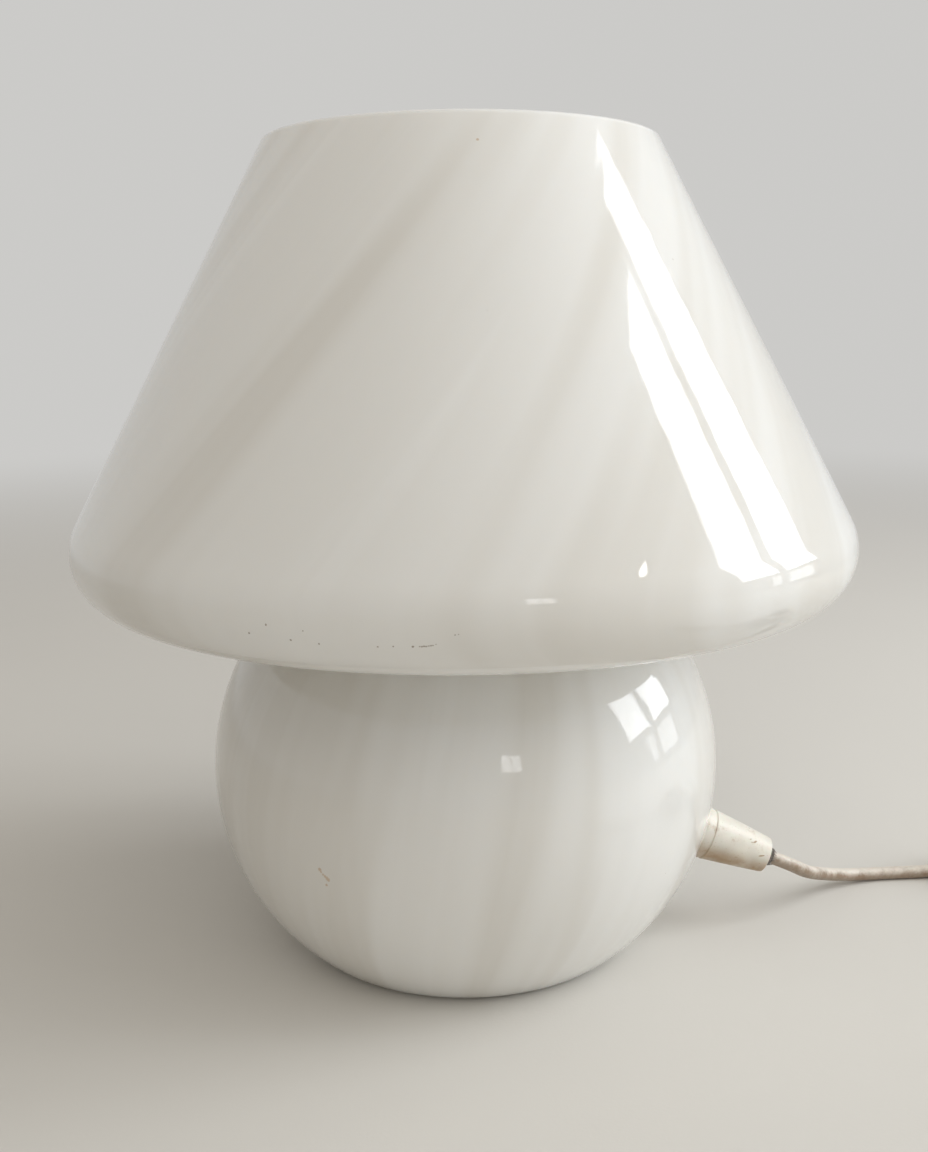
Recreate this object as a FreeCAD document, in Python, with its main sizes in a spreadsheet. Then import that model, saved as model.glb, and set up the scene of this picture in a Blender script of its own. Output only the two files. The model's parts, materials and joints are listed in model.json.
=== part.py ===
import FreeCAD, Part
import math
import os
import Sketcher

# Mushroom table lamp: one blown opal glass body (shade, hidden waist and ball in one piece),
# with the lampholder plate dropped in through the open top onto the waist, a screw bulb,
# a tapered cord grip in the side of the ball, and a two-core cord with a rocker switch,
# a neat coil of the spare length and a flat two-pin plug.
# Frame: origin at the centre of the foot on the table, +Z up, +X towards the cord outlet.

Vec = FreeCAD.Vector
doc = FreeCAD.newDocument("MushroomLamp")
sheet = doc.addObject("Spreadsheet::Sheet", "Sizes")

# Driving dimensions, millimetres and degrees.
SIZES = [
    # glass body
    ("lamp_height", 260.5),
    ("shade_radius", 125.0),
    ("mouth_radius", 62.0),
    ("roll_radius", 17.5),
    ("roll_height", 137.0),
    ("ball_arc_radius", 77.5),
    ("ball_arc_offset", 6.8),
    ("ball_height", 61.0),
    ("foot_corner", 10.0),
    ("foot_ring_inner", 38.0),
    ("foot_kick", 2.0),
    ("foot_top", 6.5),
    ("wall", 3.5),
    ("waist_radius", 50.0),
    ("waist_fillet", 6.0),
    # cord outlet and grip
    ("outlet_angle", 21.5),
    ("outlet_clearance", 0.3),
    ("grip_length", 27.0),
    ("grip_flange_radius", 9.9),
    ("grip_flange_thick", 1.6),
    ("grip_root_radius", 9.3),
    ("grip_tip_radius", 6.1),
    ("grip_edge_round", 0.9),
    ("grip_bore_radius", 3.2),
    ("grip_mouth_radius", 4.4),
    ("grip_mouth_depth", 11.0),
    ("shank_radius", 5.0),
    ("shank_length", 14.0),
    ("grip_washer_radius", 9.0),
    ("grip_washer_thick", 1.0),
    ("grip_washer_stand", 0.15),
    ("grip_nut_flats", 15.0),
    ("grip_nut_thick", 4.5),
    ("thread_gap", 0.1),
    ("sock_wall", 1.6),
    ("sock_fit", 0.2),
    ("sock_proud", 2.4),
    # three-armed support spider, its spring clips and rivets
    ("spider_reach", 52.0),
    ("spider_thick", 1.0),
    ("spider_upturn", 3.0),
    ("spider_seat_gap", 0.15),
    ("spider_hole_fit", 0.2),
    ("hub_radius", 30.0),
    ("arm_width", 14.0),
    ("clip_count", 3),
    ("clip_thick", 0.7),
    ("clip_width", 12.0),
    ("clip_tab_start", 31.5),
    ("clip_play", 0.8),
    ("clip_hook_angle", 30.0),
    ("clip_hook_drop", 17.0),
    ("clip_tail", 6.0),
    ("rivet_circle", 37.5),
    ("rivet_radius", 1.5),
    ("rivet_head_radius", 2.9),
    ("rivet_head_thick", 1.1),
    ("rivet_fit", 0.1),
    # lampholder
    ("sleeve_radius", 19.5),
    ("sleeve_wall", 1.6),
    ("sleeve_below", 26.0),
    ("sleeve_above", 9.0),
    ("sleeve_flange_radius", 22.5),
    ("sleeve_flange_thick", 2.0),
    ("sleeve_lip_radius", 16.0),
    ("sleeve_lip_thick", 1.4),
    ("ring_fit", 0.1),
    ("ring_radius", 28.0),
    ("ring_thick", 1.8),
    ("ring_collar_radius", 22.4),
    ("ring_height", 6.0),
    ("cap_straight", 12.0),
    ("cap_height", 24.0),
    ("cap_wall", 1.8),
    ("cap_end_radius", 9.0),
    ("insert_fit", 0.2),
    ("insert_thick", 8.0),
    ("insert_drop", 22.0),
    ("terminal_offset", 9.5),
    ("terminal_radius", 1.5),
    ("terminal_head_radius", 2.7),
    ("terminal_head_thick", 2.2),
    ("terminal_depth", 6.0),
    ("terminal_fit", 0.15),
    ("shell_radius", 13.35),
    ("shell_wall", 0.4),
    ("shell_height", 24.0),
    ("shell_lip_radius", 10.5),
    ("contact_thick", 0.5),
    ("contact_width", 5.0),
    ("contact_reach", 8.5),
    ("contact_foot", 4.0),
    ("contact_pad", 3.0),
    ("contact_rise", 1.7),
    ("nipple_radius", 5.0),
    ("nipple_collar_radius", 7.2),
    ("nipple_collar_thick", 4.0),
    ("nipple_above", 4.0),
    ("nipple_below", 8.0),
    ("nipple_clamp_radius", 6.2),
    ("grub_radius", 1.5),
    ("grub_length", 6.5),
    ("grub_stand", 0.1),
    # bulb
    ("bulb_contact_gap", 0.1),
    ("bulb_length", 105.0),
    ("bulb_radius", 30.0),
    ("bulb_neck_radius", 14.0),
    ("bulb_flare_radius", 38.0),
    ("bulb_glass_wall", 0.8),
    ("bulb_cap_radius", 13.05),
    ("bulb_cap_length", 26.0),
    ("bulb_cap_start", 5.0),
    ("bulb_cap_wall", 0.4),
    ("bulb_tip_radius", 4.6),
    ("bulb_tip_thick", 1.5),
    ("bulb_seal_radius", 10.4),
    ("bulb_seal_gap", 0.05),
    ("bulb_stem_radius", 3.5),
    ("bulb_stem_top", 56.0),
    ("bulb_wire_radius", 0.45),
    ("bulb_wire_spread", 11.0),
    ("bulb_wire_height", 20.0),
    # cord
    ("cord_diameter", 4.6),
    ("cord_gap", 0.8),
    ("cord_floor_clear", 0.05),
    ("cord_inner_clear", 1.0),
    ("cord_inner_straight", 18.0),
    ("cord_inner_bend", 16.73),
    ("cord_inner_rise", 3.23),
    ("cord_lead_straight", 10.0),
    ("coil_outer", 32.0),
    ("coil_x", 246.0),
    ("coil_y", -24.0),
    ("coil_turns", 9.25),
    ("coil_layers", 4),
    # inline switch
    ("switch_x", 219.0),
    ("switch_y", 29.2),
    ("switch_length", 58.0),
    ("switch_width", 23.0),
    ("switch_height", 15.5),
    ("switch_split", 5.0),
    ("switch_wall", 2.0),
    ("switch_corner", 7.0),
    ("switch_edge_round", 1.6),
    ("switch_entry_fit", 0.2),
    ("switch_entry_depth", 5.0),
    ("window_length", 20.6),
    ("window_width", 10.4),
    ("rocker_side_gap", 0.4),
    ("rocker_end_gap", 0.9),
    ("rocker_pivot", 11.0),
    ("rocker_tilt", 7.0),
    ("rocker_crown", 6.6),
    ("rocker_waist", 5.3),
    ("rocker_skirt", 2.2),
    ("rocker_keel", 3.2),
    ("rocker_keel_half", 3.0),
    ("rocker_pin_radius", 1.0),
    ("rocker_pin_fit", 0.05),
    ("rocker_ear_thick", 1.8),
    ("rocker_ear_half", 3.0),
    ("rocker_ear_drop", 2.6),
    ("screw_offset", 18.0),
    ("screw_radius", 1.4),
    ("screw_head_radius", 2.7),
    ("screw_head_thick", 1.8),
    ("screw_recess", 0.4),
    ("screw_fit", 0.1),
    ("pillar_radius", 3.0),
    ("blade_inner", 4.6),
    ("blade_outer", 13.5),
    ("blade_width", 5.0),
    ("blade_thick", 0.8),
    ("blade_rise", 3.0),
    # plug
    ("plug_x", 206.0),
    ("plug_y", -106.0),
    ("plug_width", 26.0),
    ("plug_tail_width", 13.0),
    ("plug_shoulder", 11.0),
    ("plug_length", 35.0),
    ("plug_thick", 13.6),
    ("plug_round", 2.4),
    ("plug_sleeve_length", 14.0),
    ("plug_sleeve_root", 4.6),
    ("plug_sleeve_tip", 3.4),
    ("plug_sleeve_depth", 8.0),
    ("pin_radius", 2.0),
    ("pin_length", 19.0),
    ("pin_spacing", 18.6),
    ("pin_root", 8.0),
    ("pin_root_radius", 1.7),
    ("pin_neck", 0.5),
    ("pin_round", 0.9),
]

# Places worked out from the driving dimensions.
PLACES = [
    ("lip_radius", "wall / 2"),
    ("lip_x", "mouth_radius - lip_radius"),
    ("lip_z", "lamp_height - lip_radius"),
    ("roll_x", "shade_radius - roll_radius"),
    ("cone_angle", "atan2(roll_height - lip_z; roll_x - lip_x)"
                   " + acos((lip_radius - roll_radius) / hypot(roll_x - lip_x; roll_height - lip_z))"),
    ("foot_flat", "ball_arc_offset"
                  " + sqrt(pow(ball_arc_radius - foot_corner; 2) - pow(ball_height - foot_corner; 2))"),
    ("foot_angle", "-acos((foot_flat - ball_arc_offset) / (ball_arc_radius - foot_corner))"),
    ("waist_x", "waist_radius + waist_fillet"),
    ("waist_z", "ball_height + sqrt(pow(ball_arc_radius + waist_fillet; 2) - pow(waist_x - ball_arc_offset; 2))"),
    ("waist_angle", "acos((waist_x - ball_arc_offset) / (ball_arc_radius + waist_fillet))"),
    ("shoulder_start", "roll_height - roll_radius - wall / 2"),
    ("shade_start", "waist_z + waist_fillet + 2 * wall"),
    ("under_slope", "asin((waist_fillet + roll_radius) / hypot(roll_x - waist_x; roll_height - waist_z))"
                    " - atan2(roll_height - waist_z; roll_x - waist_x)"),
    ("outlet_x", "ball_arc_offset + ball_arc_radius * cos(outlet_angle)"),
    ("outlet_z", "ball_height - ball_arc_radius * sin(outlet_angle)"),
    ("plate_bottom", "waist_z + sqrt(pow(waist_fillet + wall; 2) - pow(waist_x - spider_reach; 2))"
                     " + spider_seat_gap"),
    ("plate_top", "plate_bottom + spider_thick"),
    ("arm_end", "sqrt(pow(spider_reach; 2) - pow(arm_width / 2; 2))"),
    ("hook_z", "plate_bottom - clip_hook_drop"),
    ("hook_reach", "waist_fillet + wall + clip_play"),
    ("hook_touch_x", "waist_x - hook_reach * cos(clip_hook_angle)"),
    ("hook_touch_z", "waist_z - hook_reach * sin(clip_hook_angle)"),
    ("hook_radius", "hook_touch_x + (hook_touch_z - hook_z) * tan(clip_hook_angle)"),
    ("leg_outer", "sqrt(pow(waist_radius - wall - clip_play; 2) - pow(clip_width / 2; 2))"),
    ("leg_inner", "leg_outer - clip_thick"),
    ("leg_bend_z", "hook_touch_z + (hook_touch_x - leg_outer) / tan(clip_hook_angle)"),
    ("sleeve_bottom", "plate_bottom - sleeve_below"),
    ("sleeve_bore", "sleeve_radius - sleeve_wall"),
    ("cap_bottom", "sleeve_bottom - cap_height"),
    ("insert_top", "plate_bottom - insert_drop"),
    ("nipple_bottom", "cap_bottom - nipple_collar_thick - nipple_below"),
    ("grub_z", "nipple_bottom + nipple_below / 2"),
    ("bulb_base", "insert_top + contact_rise + contact_thick + bulb_contact_gap"),
    ("bulb_centre", "bulb_base + bulb_length - bulb_radius"),
    ("flare_x", "bulb_neck_radius + bulb_flare_radius"),
    ("flare_z", "bulb_centre - sqrt(pow(bulb_radius + bulb_flare_radius; 2) - pow(flare_x; 2))"),
    ("flare_angle", "acos(flare_x / (bulb_radius + bulb_flare_radius))"),
    ("cord_radius", "cord_diameter / 2"),
    ("washer_top", "wall + grip_washer_radius * grip_washer_radius / (2 * (ball_arc_radius - wall))"
                   " + grip_washer_stand"),
    ("washer_bottom", "washer_top + grip_washer_thick"),
    ("window_floor", "switch_height - switch_wall"),
    ("plug_face", "plug_y - plug_sleeve_length - plug_length"),
]

for row, (name, number) in enumerate(SIZES, start=1):
    sheet.set("A%d" % row, name)
    sheet.set("B%d" % row, repr(number))
    sheet.setAlias("B%d" % row, name)
for row, (name, formula) in enumerate(PLACES, start=1):
    sheet.set("C%d" % row, name)
    sheet.set("D%d" % row, "=" + formula)
    sheet.setAlias("D%d" % row, name)
doc.recompute()

ALIASES = sorted([name for name, _ in SIZES + PLACES], key=len, reverse=True)


def bound(text):
    """The same formula with every size's name pointing at the sheet."""
    out = ""
    word = ""
    for letter in text + " ":
        if letter.isalnum() or letter == "_":
            word += letter
            continue
        out += "Sizes." + word if word in ALIASES else word
        word = ""
        out += letter
    return out.strip()


def number(text):
    """The value of a formula of sizes, in millimetres or degrees."""
    value = sheet.evalExpression(text)
    return float(value.Value) if hasattr(value, "Value") else float(value)


def bind(thing, **formulas):
    """Bind properties to formulas; a double underscore stands for a dot."""
    for path, formula in formulas.items():
        thing.setExpression(path.replace("__", "."), bound(formula))


def new_body(label):
    body = doc.addObject("PartDesign::Body", label)
    body.Label = label
    body.AllowCompound = True
    return body


def new_sketch(body, role, name):
    sketch = body.newObject("Sketcher::SketchObject", name)
    plane = [item for item in body.Origin.OriginFeatures if item.Role == role][0]
    sketch.AttachmentSupport = (plane, "")
    sketch.MapMode = "FlatFace"
    return sketch


def on_circle(x, z, radius, angle):
    """Corner on a circle, at an angle from the first axis."""
    return ("%s + (%s) * cos(%s)" % (x, radius, angle), "%s + (%s) * sin(%s)" % (z, radius, angle))


def pin_point(sketch, geometry, end, axis, formula):
    """Hold one coordinate of a sketch point at a formula's value."""
    value = number(formula)
    if formula == "0":
        sketch.addConstraint(Sketcher.Constraint("PointOnObject", geometry, end, -2 if axis == "X" else -1))
        return
    index = sketch.addConstraint(Sketcher.Constraint("Distance" + axis, -1, 1, geometry, end, value))
    sketch.setExpression("Constraints[%d]" % index, bound(formula))


def draw_outline(sketch, corners, arcs=None):
    """Closed outline: corners are formula pairs; arcs[i] bends the edge that leaves corner i.

    An arc is (centre x, centre z, radius, turn), with turn 1 anticlockwise and -1 clockwise.
    """
    arcs = arcs or {}
    spots = [Vec(number(x), number(z), 0) for x, z in corners]
    count = len(corners)
    ends = []
    for i in range(count):
        a = spots[i]
        b = spots[(i + 1) % count]
        if i not in arcs:
            geometry = sketch.addGeometry(Part.LineSegment(a, b), False)
            ends.append((geometry, 1, 2))
            continue
        cx, cz, radius, turn = arcs[i]
        centre = Vec(number(cx), number(cz), 0)
        start, stop = (a, b) if turn > 0 else (b, a)
        first = math.atan2(start.y - centre.y, start.x - centre.x)
        last = math.atan2(stop.y - centre.y, stop.x - centre.x)
        circle = Part.Circle(centre, Vec(0, 0, 1), number(radius))
        geometry = sketch.addGeometry(Part.ArcOfCircle(circle, first, last), False)
        ends.append((geometry, 1, 2) if turn > 0 else (geometry, 2, 1))
    for i in range(count):
        geometry, _, out = ends[i]
        other, into, _ = ends[(i + 1) % count]
        sketch.addConstraint(Sketcher.Constraint("Coincident", geometry, out, other, into))
    for i in range(count):
        geometry, into, _ = ends[i]
        pin_point(sketch, geometry, into, "X", corners[i][0])
        pin_point(sketch, geometry, into, "Y", corners[i][1])
    for i, (cx, _, radius, _) in arcs.items():
        if (spots[(i + 1) % count] - spots[i]).Length > 1.99 * number(radius):
            # A half turn is held by its centre.
            pin_point(sketch, ends[i][0], 3, "X", cx)
            continue
        index = sketch.addConstraint(Sketcher.Constraint("Radius", ends[i][0], number(radius)))
        sketch.setExpression("Constraints[%d]" % index, bound(radius))


def draw_circle(sketch, x, y, radius):
    geometry = sketch.addGeometry(Part.Circle(Vec(number(x), number(y), 0), Vec(0, 0, 1), number(radius)), False)
    pin_point(sketch, geometry, 3, "X", x)
    pin_point(sketch, geometry, 3, "Y", y)
    index = sketch.addConstraint(Sketcher.Constraint("Radius", geometry, number(radius)))
    sketch.setExpression("Constraints[%d]" % index, bound(radius))


def box_corners(x0, x1, y0, y1):
    return [(x0, y0), (x1, y0), (x1, y1), (x0, y1)]


def turned(label, corners, arcs=None):
    """A body turned about its own Z axis from an outline of radius and height."""
    body = new_body(label)
    sketch = new_sketch(body, "XZ_Plane", label + "_outline")
    draw_outline(sketch, corners, arcs)
    spin = body.newObject("PartDesign::Revolution", label + "_turn")
    spin.Profile = sketch
    spin.ReferenceAxis = (sketch, ["V_Axis"])
    spin.Angle = 360
    sketch.Visibility = False
    body.Tip = spin
    return body


def padded(body, role, name, corners, length, arcs=None, middle=False, back=False):
    """A pad of an outline; middle spreads it to both sides of its plane."""
    sketch = new_sketch(body, role, name + "_outline")
    draw_outline(sketch, corners, arcs)
    pad = body.newObject("PartDesign::Pad", name)
    pad.Profile = sketch
    pad.Midplane = middle
    pad.Reversed = back
    bind(pad, Length=length)
    body.Tip = pad
    return pad


def pocketed(body, role, name, draw, length=None, middle=False, back=False):
    """A pocket; draw puts the outline in its sketch, and no length cuts right through."""
    sketch = new_sketch(body, role, name + "_outline")
    draw(sketch)
    pocket = body.newObject("PartDesign::Pocket", name)
    pocket.Profile = sketch
    pocket.Midplane = middle
    pocket.Reversed = back
    if length is None:
        pocket.Type = "ThroughAll"
        pocket.Midplane = True
    else:
        bind(pocket, Length=length)
    body.Tip = pocket
    return pocket


def repeated(body, features, name, count):
    """Copies of features about the body's own Z axis."""
    pattern = body.newObject("PartDesign::PolarPattern", name)
    pattern.Originals = features
    axis = [item for item in body.Origin.OriginFeatures if item.Role == "Z_Axis"][0]
    pattern.Axis = (axis, [""])
    pattern.Angle = 360
    bind(pattern, Occurrences=count)
    body.Tip = pattern
    return pattern


def placed(thing, x, y, z, axis=None, angle="0"):
    """Bind a body's place, and its turn about a fixed axis."""
    if axis is not None:
        thing.Placement = FreeCAD.Placement(Vec(0, 0, 0), FreeCAD.Rotation(axis, number(angle)))
        bind(thing, Placement__Rotation__Angle=angle)
    bind(thing, Placement__Base__x=x, Placement__Base__y=y, Placement__Base__z=z)


def cylinder(name, radius, height, x="0", y="0", z="0"):
    rod = doc.addObject("Part::Cylinder", name)
    bind(rod, Radius=radius, Height=height)
    placed(rod, x, y, z)
    return rod


def joined(label, pieces):
    """Separate or touching solids kept as one node."""
    group = doc.addObject("Part::Compound", label)
    group.Label = label
    group.Links = pieces
    return group


nodes = []

# Glass body: foot, ball, waist, sloping underside, rolled edge, cone and round lip, and the same
# line again one wall further in. The ball's side is drilled for the cord outlet.
ball = ("ball_arc_offset", "ball_height")
waist = ("waist_x", "waist_z")
roll = ("roll_x", "roll_height")
lip = ("lip_x", "lip_z")
foot = ("foot_flat", "foot_corner")
glass_corners = [
    ("0", "foot_kick"),
    ("foot_ring_inner", "0"),
    ("foot_flat", "0"),
    on_circle(*ball, "ball_arc_radius", "foot_angle"),
    on_circle(*ball, "ball_arc_radius", "waist_angle"),
    on_circle(*waist, "waist_fillet", "90 deg - under_slope"),
    on_circle(*roll, "roll_radius", "-90 deg - under_slope"),
    on_circle(*roll, "roll_radius", "cone_angle"),
    on_circle(*lip, "lip_radius", "cone_angle"),
    on_circle(*lip, "lip_radius", "cone_angle + 180 deg"),
    on_circle(*roll, "roll_radius - wall", "cone_angle"),
    on_circle(*roll, "roll_radius - wall", "-90 deg - under_slope"),
    on_circle(*waist, "waist_fillet + wall", "90 deg - under_slope"),
    on_circle(*ball, "ball_arc_radius - wall", "waist_angle"),
    on_circle(*ball, "ball_arc_radius - wall", "foot_angle"),
    ("foot_flat", "wall"),
    ("0", "wall + foot_kick"),
]
glass_arcs = {
    2: foot + ("foot_corner", 1),
    3: ball + ("ball_arc_radius", 1),
    4: waist + ("waist_fillet", -1),
    6: roll + ("roll_radius", 1),
    8: lip + ("lip_radius", 1),
    10: roll + ("roll_radius - wall", -1),
    12: waist + ("waist_fillet + wall", 1),
    13: ball + ("ball_arc_radius - wall", -1),
    14: foot + ("foot_corner - wall", -1),
}
blown = turned("glass_blank", glass_corners, glass_arcs)
drill = cylinder("outlet_drill", "shank_radius + outlet_clearance", "4 * wall")
placed(drill, "outlet_x - 2 * wall * cos(outlet_angle)", "0", "outlet_z + 2 * wall * sin(outlet_angle)",
       Vec(0, 1, 0), "90 + outlet_angle")
drilled = doc.addObject("Part::Cut", "glass_drilled")
drilled.Base = blown
drilled.Tool = drill
# One blown piece, kept as touching rings: foot, lower ball, upper ball, shoulder and shade.
levels = ["0", "foot_top", "ball_height", "shoulder_start", "shade_start", "lamp_height"]
rings = []
for ring_number in range(len(levels) - 1):
    zone = cylinder("glass_zone_%d" % ring_number, "shade_radius + wall",
                    levels[ring_number + 1] + " - " + levels[ring_number], z=levels[ring_number])
    ring = doc.addObject("Part::Common", "glass_ring_%d" % ring_number)
    ring.Base = drilled
    ring.Tool = zone
    rings.append(ring)
nodes.append(joined("glass_body", rings))


# Cord grip: pieces turned about the outlet's own axis. Zero is the ball's outer face, + is outwards.
def in_outlet(thing):
    placed(thing, "outlet_x", "0", "outlet_z", Vec(0, 1, 0), "90 + outlet_angle")
    return thing


bush = turned("grip_bush", [
    ("grip_bore_radius", "-shank_length"),
    ("shank_radius", "-shank_length"),
    ("shank_radius", "0"),
    ("grip_flange_radius", "0"),
    ("grip_flange_radius", "grip_flange_thick"),
    ("grip_root_radius", "grip_flange_thick"),
    ("grip_tip_radius", "grip_length - grip_edge_round"),
    ("grip_tip_radius - grip_edge_round", "grip_length"),
    ("grip_mouth_radius", "grip_length"),
    ("grip_mouth_radius", "grip_length - grip_mouth_depth"),
    ("grip_bore_radius", "grip_length - grip_mouth_depth"),
], {6: ("grip_tip_radius - grip_edge_round", "grip_length - grip_edge_round", "grip_edge_round", 1)})
nodes.append(in_outlet(bush))

washer = turned("grip_washer", [
    ("shank_radius + thread_gap", "-washer_bottom"),
    ("grip_washer_radius", "-washer_bottom"),
    ("grip_washer_radius", "-washer_top"),
    ("shank_radius + thread_gap", "-washer_top"),
])
nodes.append(in_outlet(washer))

nut = new_body("grip_nut")
flat = "grip_nut_flats / 2"
tall = "grip_nut_flats / sqrt(3)"
padded(nut, "XY_Plane", "nut_hexagon", [
    (tall, "0"),
    ("grip_nut_flats / sqrt(12)", flat),
    ("-grip_nut_flats / sqrt(12)", flat),
    ("-(%s)" % tall, "0"),
    ("-grip_nut_flats / sqrt(12)", "-(%s)" % flat),
    ("grip_nut_flats / sqrt(12)", "-(%s)" % flat),
], "grip_nut_thick", back=True)
pocketed(nut, "XY_Plane", "nut_bore", lambda s: draw_circle(s, "0", "0", "shank_radius + thread_gap"))
placed(nut, "outlet_x - washer_bottom * cos(outlet_angle)", "0", "outlet_z + washer_bottom * sin(outlet_angle)",
       Vec(0, 1, 0), "90 + outlet_angle")
nodes.append(nut)

sock = turned("cord_sock", [
    ("cord_radius + sock_fit", "grip_length - grip_mouth_depth + sock_fit"),
    ("cord_radius + sock_fit + sock_wall", "grip_length - grip_mouth_depth + sock_fit"),
    ("cord_radius + sock_fit + sock_wall", "grip_length"),
    ("cord_radius + sock_fit + sock_wall / 3", "grip_length + sock_proud"),
    ("cord_radius + sock_fit", "grip_length + sock_proud"),
])
nodes.append(in_outlet(sock))

# Support spider: a pressed hub with three arms whose tips, turned up, rest on the waist's inner
# shoulder. Between the arms light and heat pass down into the ball.
spider = turned("support_spider", [
    ("sleeve_radius + spider_hole_fit", "plate_bottom"),
    ("hub_radius", "plate_bottom"),
    ("hub_radius", "plate_top"),
    ("sleeve_radius + spider_hole_fit", "plate_top"),
])
arm = padded(spider, "XZ_Plane", "spider_arm", [
    ("hub_radius - arm_width / 4", "plate_bottom"),
    ("arm_end", "plate_bottom"),
    ("arm_end", "plate_bottom + spider_upturn"),
    ("arm_end - spider_thick", "plate_bottom + spider_upturn"),
    ("arm_end - spider_thick", "plate_top"),
    ("hub_radius - arm_width / 4", "plate_top"),
], "arm_width", middle=True)
arm_hole = pocketed(spider, "XY_Plane", "rivet_hole", lambda s: draw_circle(
    s, "rivet_circle", "0", "rivet_radius + rivet_fit"))
repeated(spider, [arm, arm_hole], "three_arms", "clip_count")
nodes.append(spider)

# Spring clips: bent strips under the plate that snap past the waist and hook beneath it.
clips = new_body("plate_clips")
clip_pad = padded(clips, "XZ_Plane", "clip_strip", [
    ("clip_tab_start", "plate_bottom - clip_thick"),
    ("leg_inner", "plate_bottom - clip_thick"),
    ("leg_inner", "leg_bend_z"),
    ("hook_radius - clip_thick", "hook_z"),
    ("leg_inner", "hook_z - clip_tail"),
    ("leg_outer", "hook_z - clip_tail"),
    ("hook_radius", "hook_z"),
    ("leg_outer", "leg_bend_z"),
    ("leg_outer", "plate_bottom"),
    ("clip_tab_start", "plate_bottom"),
], "clip_width", middle=True)
clip_hole = pocketed(clips, "XY_Plane", "clip_hole", lambda s: draw_circle(
    s, "rivet_circle", "0", "rivet_radius + rivet_fit"))
repeated(clips, [clip_pad, clip_hole], "three_clips", "clip_count")
nodes.append(clips)

# Rivets: shank with a flat head above the plate and one below the clip's tab.
rivets = new_body("clip_rivets")
sketch = new_sketch(rivets, "XZ_Plane", "rivet_outline")
tab_bottom = "plate_bottom - clip_thick"
draw_outline(sketch, [
    ("rivet_circle", tab_bottom + " - rivet_head_thick"),
    ("rivet_circle + rivet_head_radius", tab_bottom + " - rivet_head_thick"),
    ("rivet_circle + rivet_head_radius", tab_bottom),
    ("rivet_circle + rivet_radius", tab_bottom),
    ("rivet_circle + rivet_radius", "plate_top"),
    ("rivet_circle + rivet_head_radius", "plate_top"),
    ("rivet_circle + rivet_radius", "plate_top + rivet_head_thick"),
    ("rivet_circle", "plate_top + rivet_head_thick"),
])
rivet = rivets.newObject("PartDesign::Revolution", "rivet_turn")
rivet.Profile = sketch
rivet.ReferenceAxis = (sketch, ["Edge8"])
rivet.Angle = 360
repeated(rivets, [rivet], "three_rivets", "clip_count")
nodes.append(rivets)

# Lampholder: threaded sleeve whose flange sits under the plate, lock ring above it, cup-shaped cap
# below with the cord nipple and its grub screw, and the steatite insert that carries the metal parts.
nodes.append(turned("holder_sleeve", [
    ("sleeve_bore", "sleeve_bottom"),
    ("sleeve_radius", "sleeve_bottom"),
    ("sleeve_radius", "plate_bottom - sleeve_flange_thick"),
    ("sleeve_flange_radius", "plate_bottom - sleeve_flange_thick"),
    ("sleeve_flange_radius", "plate_bottom"),
    ("sleeve_radius", "plate_bottom"),
    ("sleeve_radius", "plate_top + sleeve_above"),
    ("sleeve_lip_radius", "plate_top + sleeve_above"),
    ("sleeve_lip_radius", "plate_top + sleeve_above - sleeve_lip_thick"),
    ("sleeve_bore", "plate_top + sleeve_above - sleeve_lip_thick"),
]))
nodes.append(turned("lock_ring", [
    ("sleeve_radius + ring_fit", "plate_top"),
    ("ring_radius", "plate_top"),
    ("ring_radius", "plate_top + ring_thick"),
    ("ring_collar_radius", "plate_top + ring_thick"),
    ("ring_collar_radius", "plate_top + ring_height"),
    ("sleeve_radius + ring_fit", "plate_top + ring_height"),
]))
nodes.append(turned("holder_cap", [
    ("sleeve_bore", "sleeve_bottom"),
    ("sleeve_bore", "sleeve_bottom - cap_straight"),
    ("cap_end_radius - cap_wall / 2", "cap_bottom + cap_wall"),
    ("nipple_radius + thread_gap", "cap_bottom + cap_wall"),
    ("nipple_radius + thread_gap", "cap_bottom"),
    ("cap_end_radius", "cap_bottom"),
    ("sleeve_radius", "sleeve_bottom - cap_straight"),
    ("sleeve_radius", "sleeve_bottom"),
]))
insert = turned("holder_insert", [
    ("0", "insert_top - insert_thick"),
    ("sleeve_bore - insert_fit", "insert_top - insert_thick"),
    ("sleeve_bore - insert_fit", "insert_top"),
    ("0", "insert_top"),
])
for side in ("", "-"):
    pocketed(insert, "XY_Plane", "terminal_hole_" + ("a" if side else "b"), lambda s: draw_circle(
        s, "0", side + "terminal_offset", "terminal_radius + terminal_fit"))
nodes.append(insert)

nodes.append(turned("screw_shell", [
    ("shell_lip_radius", "insert_top"),
    ("shell_radius + shell_wall", "insert_top"),
    ("shell_radius + shell_wall", "insert_top + shell_height"),
    ("shell_radius", "insert_top + shell_height"),
    ("shell_radius", "insert_top + shell_wall"),
    ("shell_lip_radius", "insert_top + shell_wall"),
]))

leaf = new_body("centre_contact")
padded(leaf, "XZ_Plane", "contact_leaf", [
    ("-contact_reach", "insert_top"),
    ("-contact_reach + contact_foot", "insert_top"),
    ("-contact_pad + contact_thick", "insert_top + contact_rise"),
    ("contact_pad", "insert_top + contact_rise"),
    ("contact_pad", "insert_top + contact_rise + contact_thick"),
    ("-contact_pad", "insert_top + contact_rise + contact_thick"),
    ("-contact_reach + contact_foot - contact_thick", "insert_top + contact_thick"),
    ("-contact_reach", "insert_top + contact_thick"),
], "contact_width", middle=True)
nodes.append(leaf)

screws = []
for side, sign in (("left", "-"), ("right", "")):
    head = cylinder("terminal_head_" + side, "terminal_head_radius", "terminal_head_thick",
                    "0", sign + "terminal_offset", "insert_top - insert_thick - terminal_head_thick")
    shank = cylinder("terminal_shank_" + side, "terminal_radius", "terminal_depth",
                     "0", sign + "terminal_offset", "insert_top - insert_thick")
    screw = doc.addObject("Part::Fuse", "terminal_screw_" + side)
    screw.Base = head
    screw.Tool = shank
    screws.append(screw)
nodes.append(joined("terminal_screws", screws))

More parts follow.
